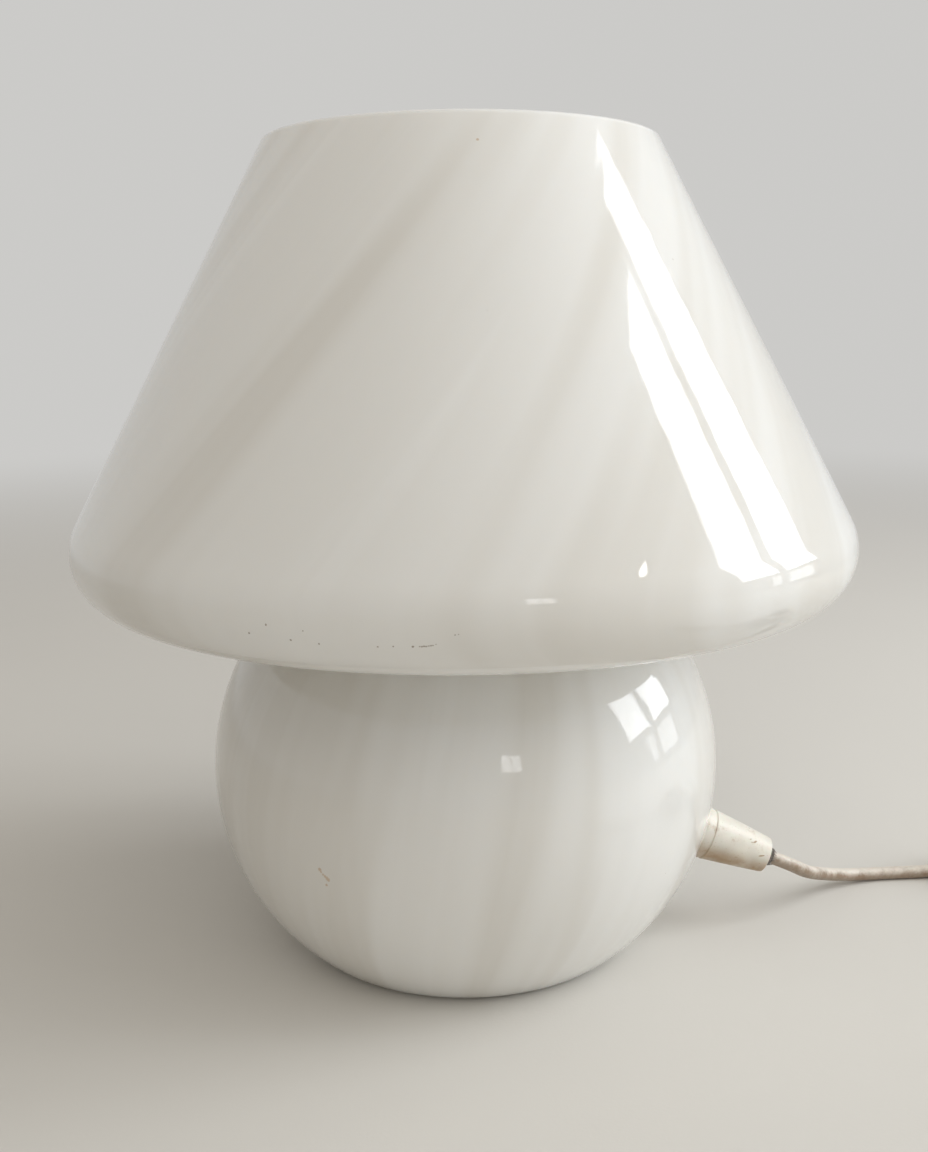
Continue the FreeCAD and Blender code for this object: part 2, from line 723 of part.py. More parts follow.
nipple = turned("cord_nipple", [
    ("grip_bore_radius", "nipple_bottom"),
    ("nipple_clamp_radius", "nipple_bottom"),
    ("nipple_clamp_radius", "nipple_bottom + nipple_below"),
    ("nipple_collar_radius", "nipple_bottom + nipple_below"),
    ("nipple_collar_radius", "cap_bottom"),
    ("nipple_radius", "cap_bottom"),
    ("nipple_radius", "cap_bottom + nipple_above"),
    ("grip_bore_radius", "cap_bottom + nipple_above"),
])
pocketed(nipple, "YZ_Plane", "grub_hole", lambda s: draw_circle(
    s, "0", "grub_z", "grub_radius + thread_gap"), "2 * nipple_clamp_radius", back=True)
nodes.append(nipple)

grub = cylinder("grub_screw", "grub_radius", "grub_length")
grub.Label = "grub_screw"
placed(grub, "cord_radius + grub_stand", "0", "grub_z", Vec(0, 1, 0), "90")
nodes.append(grub)

# Bulb: contact button and black glass seal, screw cap, pear-shaped glass, stem and filament.
nodes.append(turned("bulb_tip", [
    ("0", "bulb_base"),
    ("bulb_tip_radius - bulb_tip_thick / 2", "bulb_base"),
    ("bulb_tip_radius", "bulb_base + bulb_tip_thick"),
    ("0", "bulb_base + bulb_tip_thick"),
]))
nodes.append(turned("bulb_seal", [
    ("0", "bulb_base + bulb_tip_thick"),
    ("bulb_tip_radius + bulb_seal_gap", "bulb_base + bulb_tip_thick"),
    ("bulb_seal_radius", "bulb_base + bulb_cap_start - bulb_seal_gap"),
    ("bulb_seal_radius", "bulb_base + bulb_cap_start + 2 * bulb_cap_wall"),
    ("0", "bulb_base + bulb_cap_start + 2 * bulb_cap_wall"),
]))
nodes.append(turned("bulb_cap", [
    ("bulb_seal_radius + bulb_seal_gap", "bulb_base + bulb_cap_start"),
    ("bulb_cap_radius - 3 * bulb_cap_wall", "bulb_base + bulb_cap_start"),
    ("bulb_cap_radius", "bulb_base + bulb_cap_start + 4 * bulb_cap_wall"),
    ("bulb_cap_radius", "bulb_base + bulb_cap_length"),
    ("bulb_cap_radius - bulb_cap_wall", "bulb_base + bulb_cap_length"),
    ("bulb_cap_radius - bulb_cap_wall", "bulb_base + bulb_cap_start + 4 * bulb_cap_wall"),
    ("bulb_cap_radius - 3 * bulb_cap_wall", "bulb_base + bulb_cap_start + bulb_cap_wall"),
    ("bulb_seal_radius + bulb_seal_gap", "bulb_base + bulb_cap_start + bulb_cap_wall"),
]))
inside_cap = "bulb_cap_radius - 2 * bulb_cap_wall"
cap_end = "bulb_base + bulb_cap_length"
globe = ("0", "bulb_centre")
flare = ("flare_x", "flare_z")
nodes.append(turned("bulb_glass", [
    (inside_cap, cap_end + " - 4 * bulb_glass_wall"),
    (inside_cap, cap_end),
    ("bulb_neck_radius", cap_end + " + 3 * bulb_glass_wall"),
    ("bulb_neck_radius", "flare_z"),
    on_circle(*globe, "bulb_radius", "-flare_angle"),
    ("0", "bulb_centre + bulb_radius"),
    ("0", "bulb_centre + bulb_radius - bulb_glass_wall"),
    on_circle(*globe, "bulb_radius - bulb_glass_wall", "-flare_angle"),
    ("bulb_neck_radius - bulb_glass_wall", "flare_z"),
    ("bulb_neck_radius - bulb_glass_wall", cap_end + " + 3 * bulb_glass_wall"),
    (inside_cap + " - bulb_glass_wall", cap_end),
    (inside_cap + " - bulb_glass_wall", cap_end + " - 4 * bulb_glass_wall"),
], {
    3: flare + ("bulb_flare_radius", -1),
    4: globe + ("bulb_radius", 1),
    6: globe + ("bulb_radius - bulb_glass_wall", -1),
    7: flare + ("bulb_flare_radius + bulb_glass_wall", 1),
}))
stem_foot = cap_end + " - 4 * bulb_glass_wall"
nodes.append(turned("bulb_stem", [
    ("0", stem_foot),
    (inside_cap + " - 2 * bulb_glass_wall", stem_foot),
    (inside_cap + " - 2 * bulb_glass_wall", stem_foot + " + bulb_glass_wall"),
    ("bulb_stem_radius", stem_foot + " + 2 * bulb_stem_radius"),
    ("bulb_stem_radius", "bulb_base + bulb_stem_top - bulb_stem_radius"),
    ("0", "bulb_base + bulb_stem_top"),
]))
wires = []
lean = "atan2(bulb_wire_spread - bulb_stem_radius / 2; bulb_wire_height)"
for side, sign in (("left", "-"), ("right", "")):
    wire = cylinder("wire_" + side, "bulb_wire_radius",
                    "hypot(bulb_wire_spread - bulb_stem_radius / 2; bulb_wire_height)")
    placed(wire, sign + "bulb_stem_radius / 2", "0", "bulb_base + bulb_stem_top - bulb_stem_radius / 2",
           Vec(0, -1, 0) if sign else Vec(0, 1, 0), "(%s) / 1 deg" % lean)
    wires.append(wire)
spiral = cylinder("filament", "bulb_wire_radius", "2 * bulb_wire_spread")
placed(spiral, "-bulb_wire_spread", "0", "bulb_base + bulb_stem_top - bulb_stem_radius / 2 + bulb_wire_height",
       Vec(0, 1, 0), "90")
fused = doc.addObject("Part::MultiFuse", "bulb_filament")
fused.Label = "bulb_filament"
fused.Shapes = wires + [spiral]
nodes.append(fused)


# Cord: straight runs joined by tangent arcs. Points chosen by hand, in millimetres.
def arc_through(start, tangent, end):
    """Arc that leaves start along tangent and reaches end."""
    chord = end - start
    across = tangent - chord * (tangent.dot(chord) / chord.dot(chord))
    if across.Length < 1e-9:
        return Part.LineSegment(start, end).toShape()
    turn = tangent.getAngle(chord)
    rise = across.normalize() * (chord.Length / 2 * math.tan(turn / 2))
    return Part.Arc(start, (start + end) / 2 + rise, end).toShape()


def rounded_path(points, name):
    """Runs between the points, each corner an arc as large as its two runs allow."""
    edges = []
    radii = []
    last = points[0]
    for before, here, after in zip(points, points[1:], points[2:]):
        into = (here - before).normalize()
        away = (after - here).normalize()
        reach = 0.45 * min((here - before).Length, (after - here).Length)
        begin = here - into * reach
        finish = here + away * reach
        radii.append(reach / math.tan(into.getAngle(away) / 2))
        edges.append(Part.LineSegment(last, begin).toShape())
        edges.append(arc_through(begin, into, finish))
        last = finish
    edges.append(Part.LineSegment(last, points[-1]).toShape())
    print(name, "arc radii", [round(value, 1) for value in radii])
    return Part.Wire(edges)


def swept(label, path):
    """Round tube along a path, as a closed solid."""
    radius = number("cord_radius")
    start, second = [corner.Point for corner in path.OrderedVertexes[:2]]
    ring = Part.Wire([Part.makeCircle(radius, start, second - start)])
    shape = path.makePipeShell([ring], True, False)
    if not shape.Solids:
        shape = Part.Solid(Part.Shell(shape.Faces))
    solid = shape.Solids[0]
    if solid.Volume < 0:
        solid.reverse()
    tube = doc.addObject("Part::Feature", label)
    tube.Shape = solid
    tube.Label = label
    section = math.pi * radius ** 2 * path.Length
    print(label, "length", round(path.Length, 1), "volume / section x length", round(solid.Volume / section, 4))
    nodes.append(tube)
    return path.Length


floor = number("cord_radius + cord_floor_clear")
tilt = math.radians(number("outlet_angle"))
outlet_axis = Vec(math.cos(tilt), 0, -math.sin(tilt))
outlet = Vec(number("outlet_x"), 0, number("outlet_z"))
mouth = outlet + outlet_axis * number("grip_length")
holder_end = Vec(0, 0, number("insert_top - insert_thick - terminal_head_thick - cord_inner_clear"))
inner_start = outlet - outlet_axis * number("cord_inner_straight")
nipple = number("nipple_bottom")
inner_points = [
    mouth,
    inner_start,
    Vec(40.0, 4.0, 46.5),
    Vec(20.0, 5.0, 51.0),
    Vec(5.5, 2.0, nipple - number("cord_inner_bend")),
    Vec(0, 0, nipple - number("cord_inner_rise")),
    holder_end,
]
swept("cord_inner", rounded_path(inner_points, "cord_inner"))

entry = number("switch_length / 2 - switch_entry_depth")
switch_in = Vec(number("switch_x") - entry, number("switch_y"), number("switch_split"))
switch_out = Vec(number("switch_x") + entry, number("switch_y"), number("switch_split"))
lead_points = [
    mouth,
    mouth + outlet_axis * number("cord_lead_straight"),
    Vec(120.8, 5.5, 13.4),
    Vec(129.0, 14.5, 8.6),
    Vec(138.5, 22.5, 4.4),
    Vec(150.0, 27.2, 2.6),
    Vec(162.0, 28.6, floor),
    Vec(173.5, 29.2, floor + 0.1),
    Vec(184.0, 29.2, number("switch_split") - 0.8),
    switch_in,
]
lead_length = swept("cord_lead", rounded_path(lead_points, "cord_lead"))


def coil_point(turns):
    """Centre line of the coil after so many turns, clockwise from its right-hand side."""
    count = int(number("coil_layers"))
    per_layer = number("coil_turns") / count
    pitch = number("cord_diameter + cord_gap")
    layer = min(int(turns / per_layer), count - 1)
    within = turns - layer * per_layer
    inward = layer % 2 == 0
    radius = number("coil_outer") - pitch * (within if inward else per_layer - within)
    height = floor + pitch * layer
    for crossing in range(1, count):
        off = turns - crossing * per_layer
        if abs(off) < 0.25:
            # Half a turn in which the spiral eases round and climbs one layer.
            bend = pitch * (0.25 - abs(off)) ** 2
            inner = crossing % 2 == 1
            radius += bend if inner else -bend
            height = floor + pitch * (crossing - 0.5 + 0.5 * math.sin(math.pi * off / 0.5))
    angle = -2 * math.pi * turns
    return Vec(number("coil_x") + radius * math.cos(angle), number("coil_y") + radius * math.sin(angle), height)


def biarc(start, first, end, last):
    """Two arcs from start to end with the given headings."""
    across = end - start
    lean = across.dot(first + last)
    spread = 2 * (1 - first.dot(last))
    if spread < 1e-9:
        reach = across.dot(across) / (4 * across.dot(last))
    else:
        reach = (-lean + math.sqrt(lean * lean + spread * across.dot(across))) / spread
    middle = (start + end + (first - last) * reach) / 2
    turned_at = (middle - (start + first * reach)).normalize()
    return [arc_through(start, first, middle), arc_through(middle, turned_at, end)]


def coil_heading(turns):
    step = 1e-4
    return (coil_point(turns + step) - coil_point(turns - step)).normalize()


quarter = 0.25
coil_turns = number("coil_turns")
stations = [quarter * i for i in range(int(coil_turns / quarter) + 1)]
per_layer = coil_turns / number("coil_layers")
places = [coil_point(t) for t in stations]
headings = [coil_heading(min(max(t, 1e-3), coil_turns - 1e-3)) for t in stations]
headings[0] = Vec(0, -1, 0)
headings[-1] = Vec(-1, 0, 0)
straight = number("cord_diameter")
coil_start = places[0] - headings[0] * straight
coil_end = places[-1] + headings[-1] * straight
edges = [Part.LineSegment(coil_start, places[0]).toShape()]
for i in range(len(places) - 1):
    edges += biarc(places[i], headings[i], places[i + 1], headings[i + 1])
edges.append(Part.LineSegment(places[-1], coil_end).toShape())
coil_length = swept("cord_coil", Part.Wire(edges))

per_edge = 12
next_turn = 40.0
samples = [p for edge in edges for p in edge.discretize(per_edge)]
least = coil_length
for i in range(len(samples)):
    travelled = 0.0
    for j in range(i + 1, len(samples)):
        travelled += (samples[j] - samples[j - 1]).Length
        if travelled > next_turn:
            least = min(least, (samples[j] - samples[i]).Length)
print("coil least gap to itself", round(least - number("cord_diameter"), 2))

# Offsets of the route's points from the pieces that they leave and meet.
link_out = 12.0
link_bend_x, link_bend_y, link_bend_rise = 24.0, 5.5, 0.8
link_turn_x, link_turn_y = 31.5, 15.0
link_in = 13.5
link_points = [
    switch_out,
    switch_out + Vec(link_out, 0, 0),
    Vec(switch_out.x + link_bend_x, switch_out.y - link_bend_y, floor + link_bend_rise),
    Vec(switch_out.x + link_turn_x, switch_out.y - link_turn_y, floor),
    Vec(coil_start.x, coil_start.y + link_in, floor),
    coil_start,
]
link_length = swept("cord_link", rounded_path(link_points, "cord_link"))

plug_entry = Vec(number("plug_x"), number("plug_y"), number("plug_thick / 2"))
plug_seat = plug_entry - Vec(0, number("plug_sleeve_depth"), 0)
tail_out = 10.0
tail_bend_x, tail_bend_y, tail_bend_z = 12.5, 4.5, 15.0
tail_turn_x, tail_turn_y, tail_turn_z = 2.5, 14.5, 10.8
tail_run_y, tail_run_z = 28.0, 8.0
tail_in = 9.0
tail_points = [
    coil_end,
    coil_end - Vec(tail_out, 0, 0),
    Vec(plug_entry.x + tail_bend_x, coil_end.y - tail_bend_y, tail_bend_z),
    Vec(plug_entry.x + tail_turn_x, coil_end.y - tail_turn_y, tail_turn_z),
    Vec(plug_entry.x, coil_end.y - tail_run_y, tail_run_z),
    plug_entry + Vec(0, tail_in, 0),
    plug_seat,
]
tail_length = swept("cord_tail", rounded_path(tail_points, "cord_tail"))
print("free cord length", round(lead_length + 2 * entry + link_length + coil_length + tail_length, 1))


# Inline switch, in its own frame: origin on the floor below its middle, X along the cord.
def at_switch(thing, x="0", y="0", z="0"):
    placed(thing, "switch_x + " + x, "switch_y + " + y, z)
    return thing


half_long = "switch_length / 2"
half_wide = "switch_width / 2"
corner = "switch_corner"


def case_outline(inset):
    """Plan of the case with rounded ends, drawn in by inset."""
    long = "(%s - %s)" % (half_long, inset)
    wide = "(%s - %s)" % (half_wide, inset)
    round_by = "(%s - %s)" % (corner, inset)
    corners = [
        ("-%s + %s" % (long, round_by), "-" + wide),
        ("%s - %s" % (long, round_by), "-" + wide),
        (long, "-%s + %s" % (wide, round_by)),
        (long, "%s - %s" % (wide, round_by)),
        ("%s - %s" % (long, round_by), wide),
        ("-%s + %s" % (long, round_by), wide),
        ("-" + long, "%s - %s" % (wide, round_by)),
        ("-" + long, "-%s + %s" % (wide, round_by)),
    ]
    inner_x = "%s - %s" % (long, round_by)
    inner_y = "%s - %s" % (wide, round_by)
    arcs = {
        1: (inner_x, "-(%s)" % inner_y, round_by, 1),
        3: (inner_x, inner_y, round_by, 1),
        5: ("-(%s)" % inner_x, inner_y, round_by, 1),
        7: ("-(%s)" % inner_x, "-(%s)" % inner_y, round_by, 1),
    }
    return corners, arcs


def rounded_edges(body, feature, height, size, name):
    """Round the edges of a feature that lie at one height."""
    doc.recompute()
    names = []
    for index, edge in enumerate(feature.Shape.Edges, start=1):
        if all(abs(v.Point.z - height) < 1e-4 for v in edge.Vertexes):
            names.append("Edge%d" % index)
    fillet = body.newObject("PartDesign::Fillet", name)
    fillet.Base = (feature, names)
    bind(fillet, Radius=size)
    body.Tip = fillet
    return fillet


def entry_cut(body, name):
    pocketed(body, "YZ_Plane", name, lambda s: draw_circle(
        s, "0", "switch_split", "cord_radius + switch_entry_fit"))


base = new_body("switch_base")
corners, arcs = case_outline("0")
base_pad = padded(base, "XY_Plane", "base_block", corners, "switch_split", arcs)
rounded_edges(base, base_pad, 0.0, "switch_edge_round", "base_round")
corners, arcs = case_outline("switch_wall")
cavity = new_sketch(base, "XY_Plane", "base_cavity_outline")
draw_outline(cavity, corners, arcs)
bind(cavity, AttachmentOffset__Base__z="switch_wall")
hollow = base.newObject("PartDesign::Pocket", "base_cavity")
hollow.Profile = cavity
hollow.Reversed = True
bind(hollow, Length="switch_split")
base.Tip = hollow
for side, sign in (("left", "-"), ("right", "")):
    pillar = new_sketch(base, "XY_Plane", "base_boss_outline_" + side)
    draw_circle(pillar, sign + "screw_offset", "0", "pillar_radius + switch_wall / 2")
    boss = base.newObject("PartDesign::Pad", "base_boss_" + side)
    boss.Profile = pillar
    bind(boss, Length="switch_split - switch_wall / 2")
    base.Tip = boss
    pocketed(base, "XY_Plane", "screw_hole_" + side, lambda s: draw_circle(
        s, sign + "screw_offset", "0", "screw_radius + screw_fit"))
    pocketed(base, "XY_Plane", "screw_sink_" + side, lambda s: draw_circle(
        s, sign + "screw_offset", "0", "screw_head_radius + screw_fit"),
        "screw_recess + screw_head_thick", back=True)
entry_cut(base, "base_entry")
nodes.append(at_switch(base))

cover = new_body("switch_cover")
corners, arcs = case_outline("0")
block = new_sketch(cover, "XY_Plane", "cover_block_outline")
draw_outline(block, corners, arcs)
bind(block, AttachmentOffset__Base__z="switch_split")
cover_pad = cover.newObject("PartDesign::Pad", "cover_block")
cover_pad.Profile = block
bind(cover_pad, Length="switch_height - switch_split")
cover.Tip = cover_pad
rounded_edges(cover, cover_pad, number("switch_height"), "switch_edge_round", "cover_round")
corners, arcs = case_outline("switch_wall")
cavity = new_sketch(cover, "XY_Plane", "cover_cavity_outline")
draw_outline(cavity, corners, arcs)
bind(cavity, AttachmentOffset__Base__z="switch_split")
hollow = cover.newObject("PartDesign::Pocket", "cover_cavity")
hollow.Profile = cavity
hollow.Reversed = True
bind(hollow, Length="window_floor - switch_split")
cover.Tip = hollow
# Ears beside the window carry the rocker's pin; pillars take the two screws.
for side, sign, low, high in (
        ("front", "-", "-(window_width / 2 + rocker_ear_thick)", "-window_width / 2"),
        ("rear", "", "window_width / 2", "window_width / 2 + rocker_ear_thick")):
    ear = new_sketch(cover, "XY_Plane", "ear_outline_" + side)
    draw_outline(ear, box_corners("-rocker_ear_half", "rocker_ear_half", low, high))
    bind(ear, AttachmentOffset__Base__z="rocker_pivot - rocker_ear_drop")
    tab = cover.newObject("PartDesign::Pad", "ear_" + side)
    tab.Profile = ear
    bind(tab, Length="window_floor - rocker_pivot + rocker_ear_drop + switch_wall / 2")
    cover.Tip = tab
for side, sign in (("left", "-"), ("right", "")):
    post = new_sketch(cover, "XY_Plane", "post_outline_" + side)
    draw_circle(post, sign + "screw_offset", "0", "pillar_radius")
    bind(post, AttachmentOffset__Base__z="switch_split")
    pillar = cover.newObject("PartDesign::Pad", "post_" + side)
    pillar.Profile = post
    bind(pillar, Length="window_floor - switch_split + switch_wall / 2")
    cover.Tip = pillar
    bore = new_sketch(cover, "XY_Plane", "post_bore_outline_" + side)
    draw_circle(bore, sign + "screw_offset", "0", "screw_radius + screw_fit")
    cut = cover.newObject("PartDesign::Pocket", "post_bore_" + side)
    cut.Profile = bore
    cut.Reversed = True
    bind(cut, Length="window_floor - switch_wall / 2")
    cover.Tip = cut
pocketed(cover, "XY_Plane", "window", lambda s: draw_outline(s, box_corners(
    "-window_length / 2", "window_length / 2", "-window_width / 2", "window_width / 2")))
pocketed(cover, "XZ_Plane", "pin_bore", lambda s: draw_circle(
    s, "0", "rocker_pivot", "rocker_pin_radius"), "window_width + 3 * rocker_ear_thick", middle=True)
entry_cut(cover, "cover_entry")
nodes.append(at_switch(cover))

# Rocker: waisted top, skirt and keel, drawn about its pivot and stored tilted to one side.
rocker = new_body("switch_rocker")
rocker_half = "(window_length / 2 - rocker_end_gap)"
rocker_pad = padded(rocker, "XZ_Plane", "rocker_block", [
    ("-rocker_keel_half", "-rocker_keel"),
    ("rocker_keel_half", "-rocker_keel"),
    (rocker_half, "rocker_skirt"),
    (rocker_half, "rocker_crown"),
    ("0", "rocker_waist"),
    ("-" + rocker_half, "rocker_crown"),
    ("-" + rocker_half, "rocker_skirt"),
], "window_width - 2 * rocker_side_gap", middle=True)
pocketed(rocker, "XZ_Plane", "rocker_bore", lambda s: draw_circle(
    s, "0", "0", "rocker_pin_radius + rocker_pin_fit"))
placed(rocker, "switch_x", "switch_y", "rocker_pivot", Vec(0, 1, 0), "rocker_tilt")
nodes.append(rocker)

pin = cylinder("rocker_pin", "rocker_pin_radius", "window_width + 2 * rocker_ear_thick")
pin.Label = "rocker_pin"
placed(pin, "switch_x", "switch_y + window_width / 2 + rocker_ear_thick", "rocker_pivot", Vec(1, 0, 0), "90")
nodes.append(pin)

blades = []
for side, sign in (("left", -1), ("right", 1)):
    blade = new_body("blade_" + side)
    mark = "-" if sign < 0 else ""
    padded(blade, "XZ_Plane", "blade_strip_" + side, [
        (mark + "blade_outer", "switch_wall"),
        (mark + "blade_inner", "switch_wall"),
        (mark + "blade_inner", "switch_wall + blade_rise"),
        (mark + "(blade_inner + blade_thick)", "switch_wall + blade_rise"),
        (mark + "(blade_inner + blade_thick)", "switch_wall + blade_thick"),
        (mark + "blade_outer", "switch_wall + blade_thick"),
    ], "blade_width", middle=True)
    at_switch(blade)
    blades.append(blade)
nodes.append(joined("switch_blades", blades))

case_screws = []
for side, sign in (("left", "-"), ("right", "")):
    head = cylinder("case_head_" + side, "screw_head_radius", "screw_head_thick",
                    "switch_x %s screw_offset" % (sign or "+"), "switch_y", "screw_recess")
    shank = cylinder("case_shank_" + side, "screw_radius", "window_floor - switch_wall - screw_recess",
                     "switch_x %s screw_offset" % (sign or "+"), "switch_y", "screw_recess")
    screw = doc.addObject("Part::Fuse", "case_screw_" + side)
    screw.Base = head
    screw.Tool = shank
    case_screws.append(screw)
nodes.append(joined("switch_screws", case_screws))

# Plug, in its own frame: origin at the cord's entry, the pins towards -Y, lying flat on the floor.
plug_block = new_body("plug_block")
half_plug = "plug_width / 2"
half_tail = "plug_tail_width / 2"
block_pad = padded(plug_block, "XY_Plane", "plug_plan", [
    ("-" + half_plug, "-plug_sleeve_length - plug_length"),
    (half_plug, "-plug_sleeve_length - plug_length"),
    (half_plug, "-plug_sleeve_length - plug_shoulder"),
    (half_tail, "-plug_sleeve_length"),
    ("-" + half_tail, "-plug_sleeve_length"),
    ("-" + half_plug, "-plug_sleeve_length - plug_shoulder"),
], "plug_thick", middle=True)
doc.recompute()
plug_fillet = plug_block.newObject("PartDesign::Fillet", "plug_round_edges")
plug_fillet.Base = (block_pad, ["Edge%d" % (i + 1) for i in range(len(block_pad.Shape.Edges))])
bind(plug_fillet, Radius="plug_round")
plug_block.Tip = plug_fillet
placed(plug_block, "plug_x", "plug_y", "plug_thick / 2")

plug_sleeve = turned("plug_sleeve", [
    ("0", "0"),
    ("plug_sleeve_root", "0"),
    ("plug_sleeve_root", "plug_round"),
    ("plug_sleeve_tip", "plug_sleeve_length + plug_round"),
    ("0", "plug_sleeve_length + plug_round"),
])
placed(plug_sleeve, "plug_x", "plug_y - plug_sleeve_length - plug_round", "plug_thick / 2", Vec(1, 0, 0), "-90")
moulding = doc.addObject("Part::Fuse", "plug_moulding")
moulding.Base = plug_block
moulding.Tool = plug_sleeve
entry_bore = cylinder("plug_entry_bore", "cord_radius + switch_entry_fit", "plug_sleeve_depth")
placed(entry_bore, "plug_x", "plug_y", "plug_thick / 2", Vec(1, 0, 0), "90")
bored = doc.addObject("Part::Cut", "plug_bored")
bored.Base = moulding
bored.Tool = entry_bore
sockets = []
pins = []
for side, sign in (("left", "-"), ("right", "+")):
    across = "plug_x %s pin_spacing / 2" % sign
    socket = cylinder("pin_socket_" + side, "pin_root_radius", "pin_root")
    placed(socket, across, "plug_face + pin_root", "plug_thick / 2", Vec(1, 0, 0), "90")
    sockets.append(socket)
    plug_pin = turned("plug_pin_" + side, [
        ("0", "0"),
        ("pin_root_radius", "0"),
        ("pin_root_radius", "pin_root + pin_neck"),
        ("pin_radius", "pin_root + pin_neck"),
        ("pin_radius", "pin_root + pin_length - pin_round"),
        ("pin_radius - pin_round", "pin_root + pin_length"),
        ("0", "pin_root + pin_length"),
    ], {4: ("pin_radius - pin_round", "pin_root + pin_length - pin_round", "pin_round", 1)})
    placed(plug_pin, across, "plug_face + pin_root", "plug_thick / 2", Vec(1, 0, 0), "90")
    pins.append(plug_pin)
plug = doc.addObject("Part::Cut", "plug_body")
plug.Label = "plug_body"
plug.Base = bored
plug.Tool = joined("pin_sockets", sockets)
nodes.append(plug)
nodes.append(joined("plug_pins", pins))

doc.recompute()

# Nothing is written unless every object is sound.
faults = [item.Name for item in doc.Objects if "Invalid" in item.State or "Error" in item.State]
for node in nodes:
    if node.Shape.isNull() or not node.Shape.isValid():
        faults.append(node.Label)
if faults:
    raise RuntimeError("unsound: " + ", ".join(faults))

os.makedirs("parts", exist_ok=True)
for node in nodes:
    node.Shape.exportStep("parts/%s.step" % node.Label)
    print(node.Label, len(node.Shape.Solids), round(node.Shape.Volume, 1))
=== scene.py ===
"""Mushroom table lamp in white opal glass, dressed for a photograph.

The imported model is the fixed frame. Every visible piece is a smooth mesh or curve in its place, with a
procedural finish, and the pieces that nobody sees keep their own shapes and get finishes only.
Lengths are metres unless a name says otherwise.
"""

import json
import logging
import math
import random
from dataclasses import dataclass
from enum import Enum
from typing import Callable, Iterable, Sequence

import bpy
from mathutils import Matrix, Vector

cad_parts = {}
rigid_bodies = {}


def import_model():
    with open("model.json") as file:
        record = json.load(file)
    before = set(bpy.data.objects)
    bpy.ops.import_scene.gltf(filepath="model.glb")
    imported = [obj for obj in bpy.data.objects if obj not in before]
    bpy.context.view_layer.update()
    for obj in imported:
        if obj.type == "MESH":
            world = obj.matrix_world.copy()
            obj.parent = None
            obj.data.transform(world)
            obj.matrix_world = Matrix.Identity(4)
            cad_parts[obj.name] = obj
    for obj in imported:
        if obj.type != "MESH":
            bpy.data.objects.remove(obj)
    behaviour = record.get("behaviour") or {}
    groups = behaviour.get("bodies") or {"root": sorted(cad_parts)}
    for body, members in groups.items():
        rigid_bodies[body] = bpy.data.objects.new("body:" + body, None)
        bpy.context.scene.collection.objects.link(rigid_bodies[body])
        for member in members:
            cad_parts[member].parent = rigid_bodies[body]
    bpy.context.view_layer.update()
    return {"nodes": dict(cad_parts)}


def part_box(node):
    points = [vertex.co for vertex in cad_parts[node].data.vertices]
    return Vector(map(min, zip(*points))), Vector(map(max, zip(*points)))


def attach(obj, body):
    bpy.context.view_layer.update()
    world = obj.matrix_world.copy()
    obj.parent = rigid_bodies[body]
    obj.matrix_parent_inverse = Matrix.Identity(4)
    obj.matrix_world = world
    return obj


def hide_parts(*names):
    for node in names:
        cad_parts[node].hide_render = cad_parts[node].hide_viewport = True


LOG = logging.getLogger("mushroom_lamp")
MM = 0.001
TOUCHING = MM / 1000
RGB = tuple[float, float, float]
Pair = tuple[float, float]
Point = tuple[float, float, float]
Spot = tuple[float, float, float, float]
Piece = bpy.types.Object
Socket = bpy.types.NodeSocket


class Outline(Enum):
    """Where a drawn outline ends."""

    ON_AXIS = "both ends on the axis"
    CLOSED = "back at its first point"


class Side(Enum):
    """One of two opposite places."""

    LEFT = -1
    RIGHT = 1


class Element(Enum):
    """What a selection in edit mode is made of."""

    EDGES = "EDGE"
    FACES = "FACE"


class Axis(Enum):
    """The line that a bar runs along, with the turn that lays it there."""

    X = (0.0, math.pi / 2, 0.0)
    Y = (math.pi / 2, 0.0, 0.0)
    Z = (0.0, 0.0, 0.0)


def deselect() -> None:
    """Deselect every object, so that an operator acts only on what comes next."""
    if bpy.context.mode != "OBJECT":
        bpy.ops.object.mode_set(mode="OBJECT")
    bpy.ops.object.select_all(action="DESELECT")


def pick(piece: Piece) -> None:
    """Make one object the only selected and active one.

    Args:
        piece: The object.
    """
    deselect()
    piece.select_set(True)
    bpy.context.view_layer.objects.active = piece


def named(name: str) -> Piece:
    """Name the active object and its mesh.

    Args:
        name: The piece's name.

    Returns:
        The active object.
    """
    piece = bpy.context.active_object
    piece.name = name
    piece.data.name = name
    return piece


def shown(name: str, data: bpy.types.ID) -> Piece:
    """Bring a camera, a light or a curve into the scene.

    Args:
        name: The object's name.
        data: The camera, light or curve.

    Returns:
        The new object.
    """
    piece = bpy.data.objects.new(name, data)
    bpy.context.scene.collection.objects.link(piece)
    return piece


def settle(piece: Piece, matrix: Matrix | None = None) -> Piece:
    """Put a piece in place and leave its object at the origin.

    Args:
        piece: The object, still in its own frame.
        matrix: Its place in the lamp's frame, or nothing where it is drawn in place.

    Returns:
        The same object.
    """
    pick(piece)
    if matrix is not None:
        piece.matrix_world = matrix
    bpy.ops.object.transform_apply(location=True, rotation=True, scale=True)
    return piece


def smooth(piece: Piece, degrees: float = 35.0) -> Piece:
    """Shade a piece smooth except at its sharp edges.

    Args:
        piece: The object.
        degrees: The least angle of a sharp edge.

    Returns:
        The same object.
    """
    pick(piece)
    bpy.ops.object.shade_smooth_by_angle(angle=math.radians(degrees))
    return piece


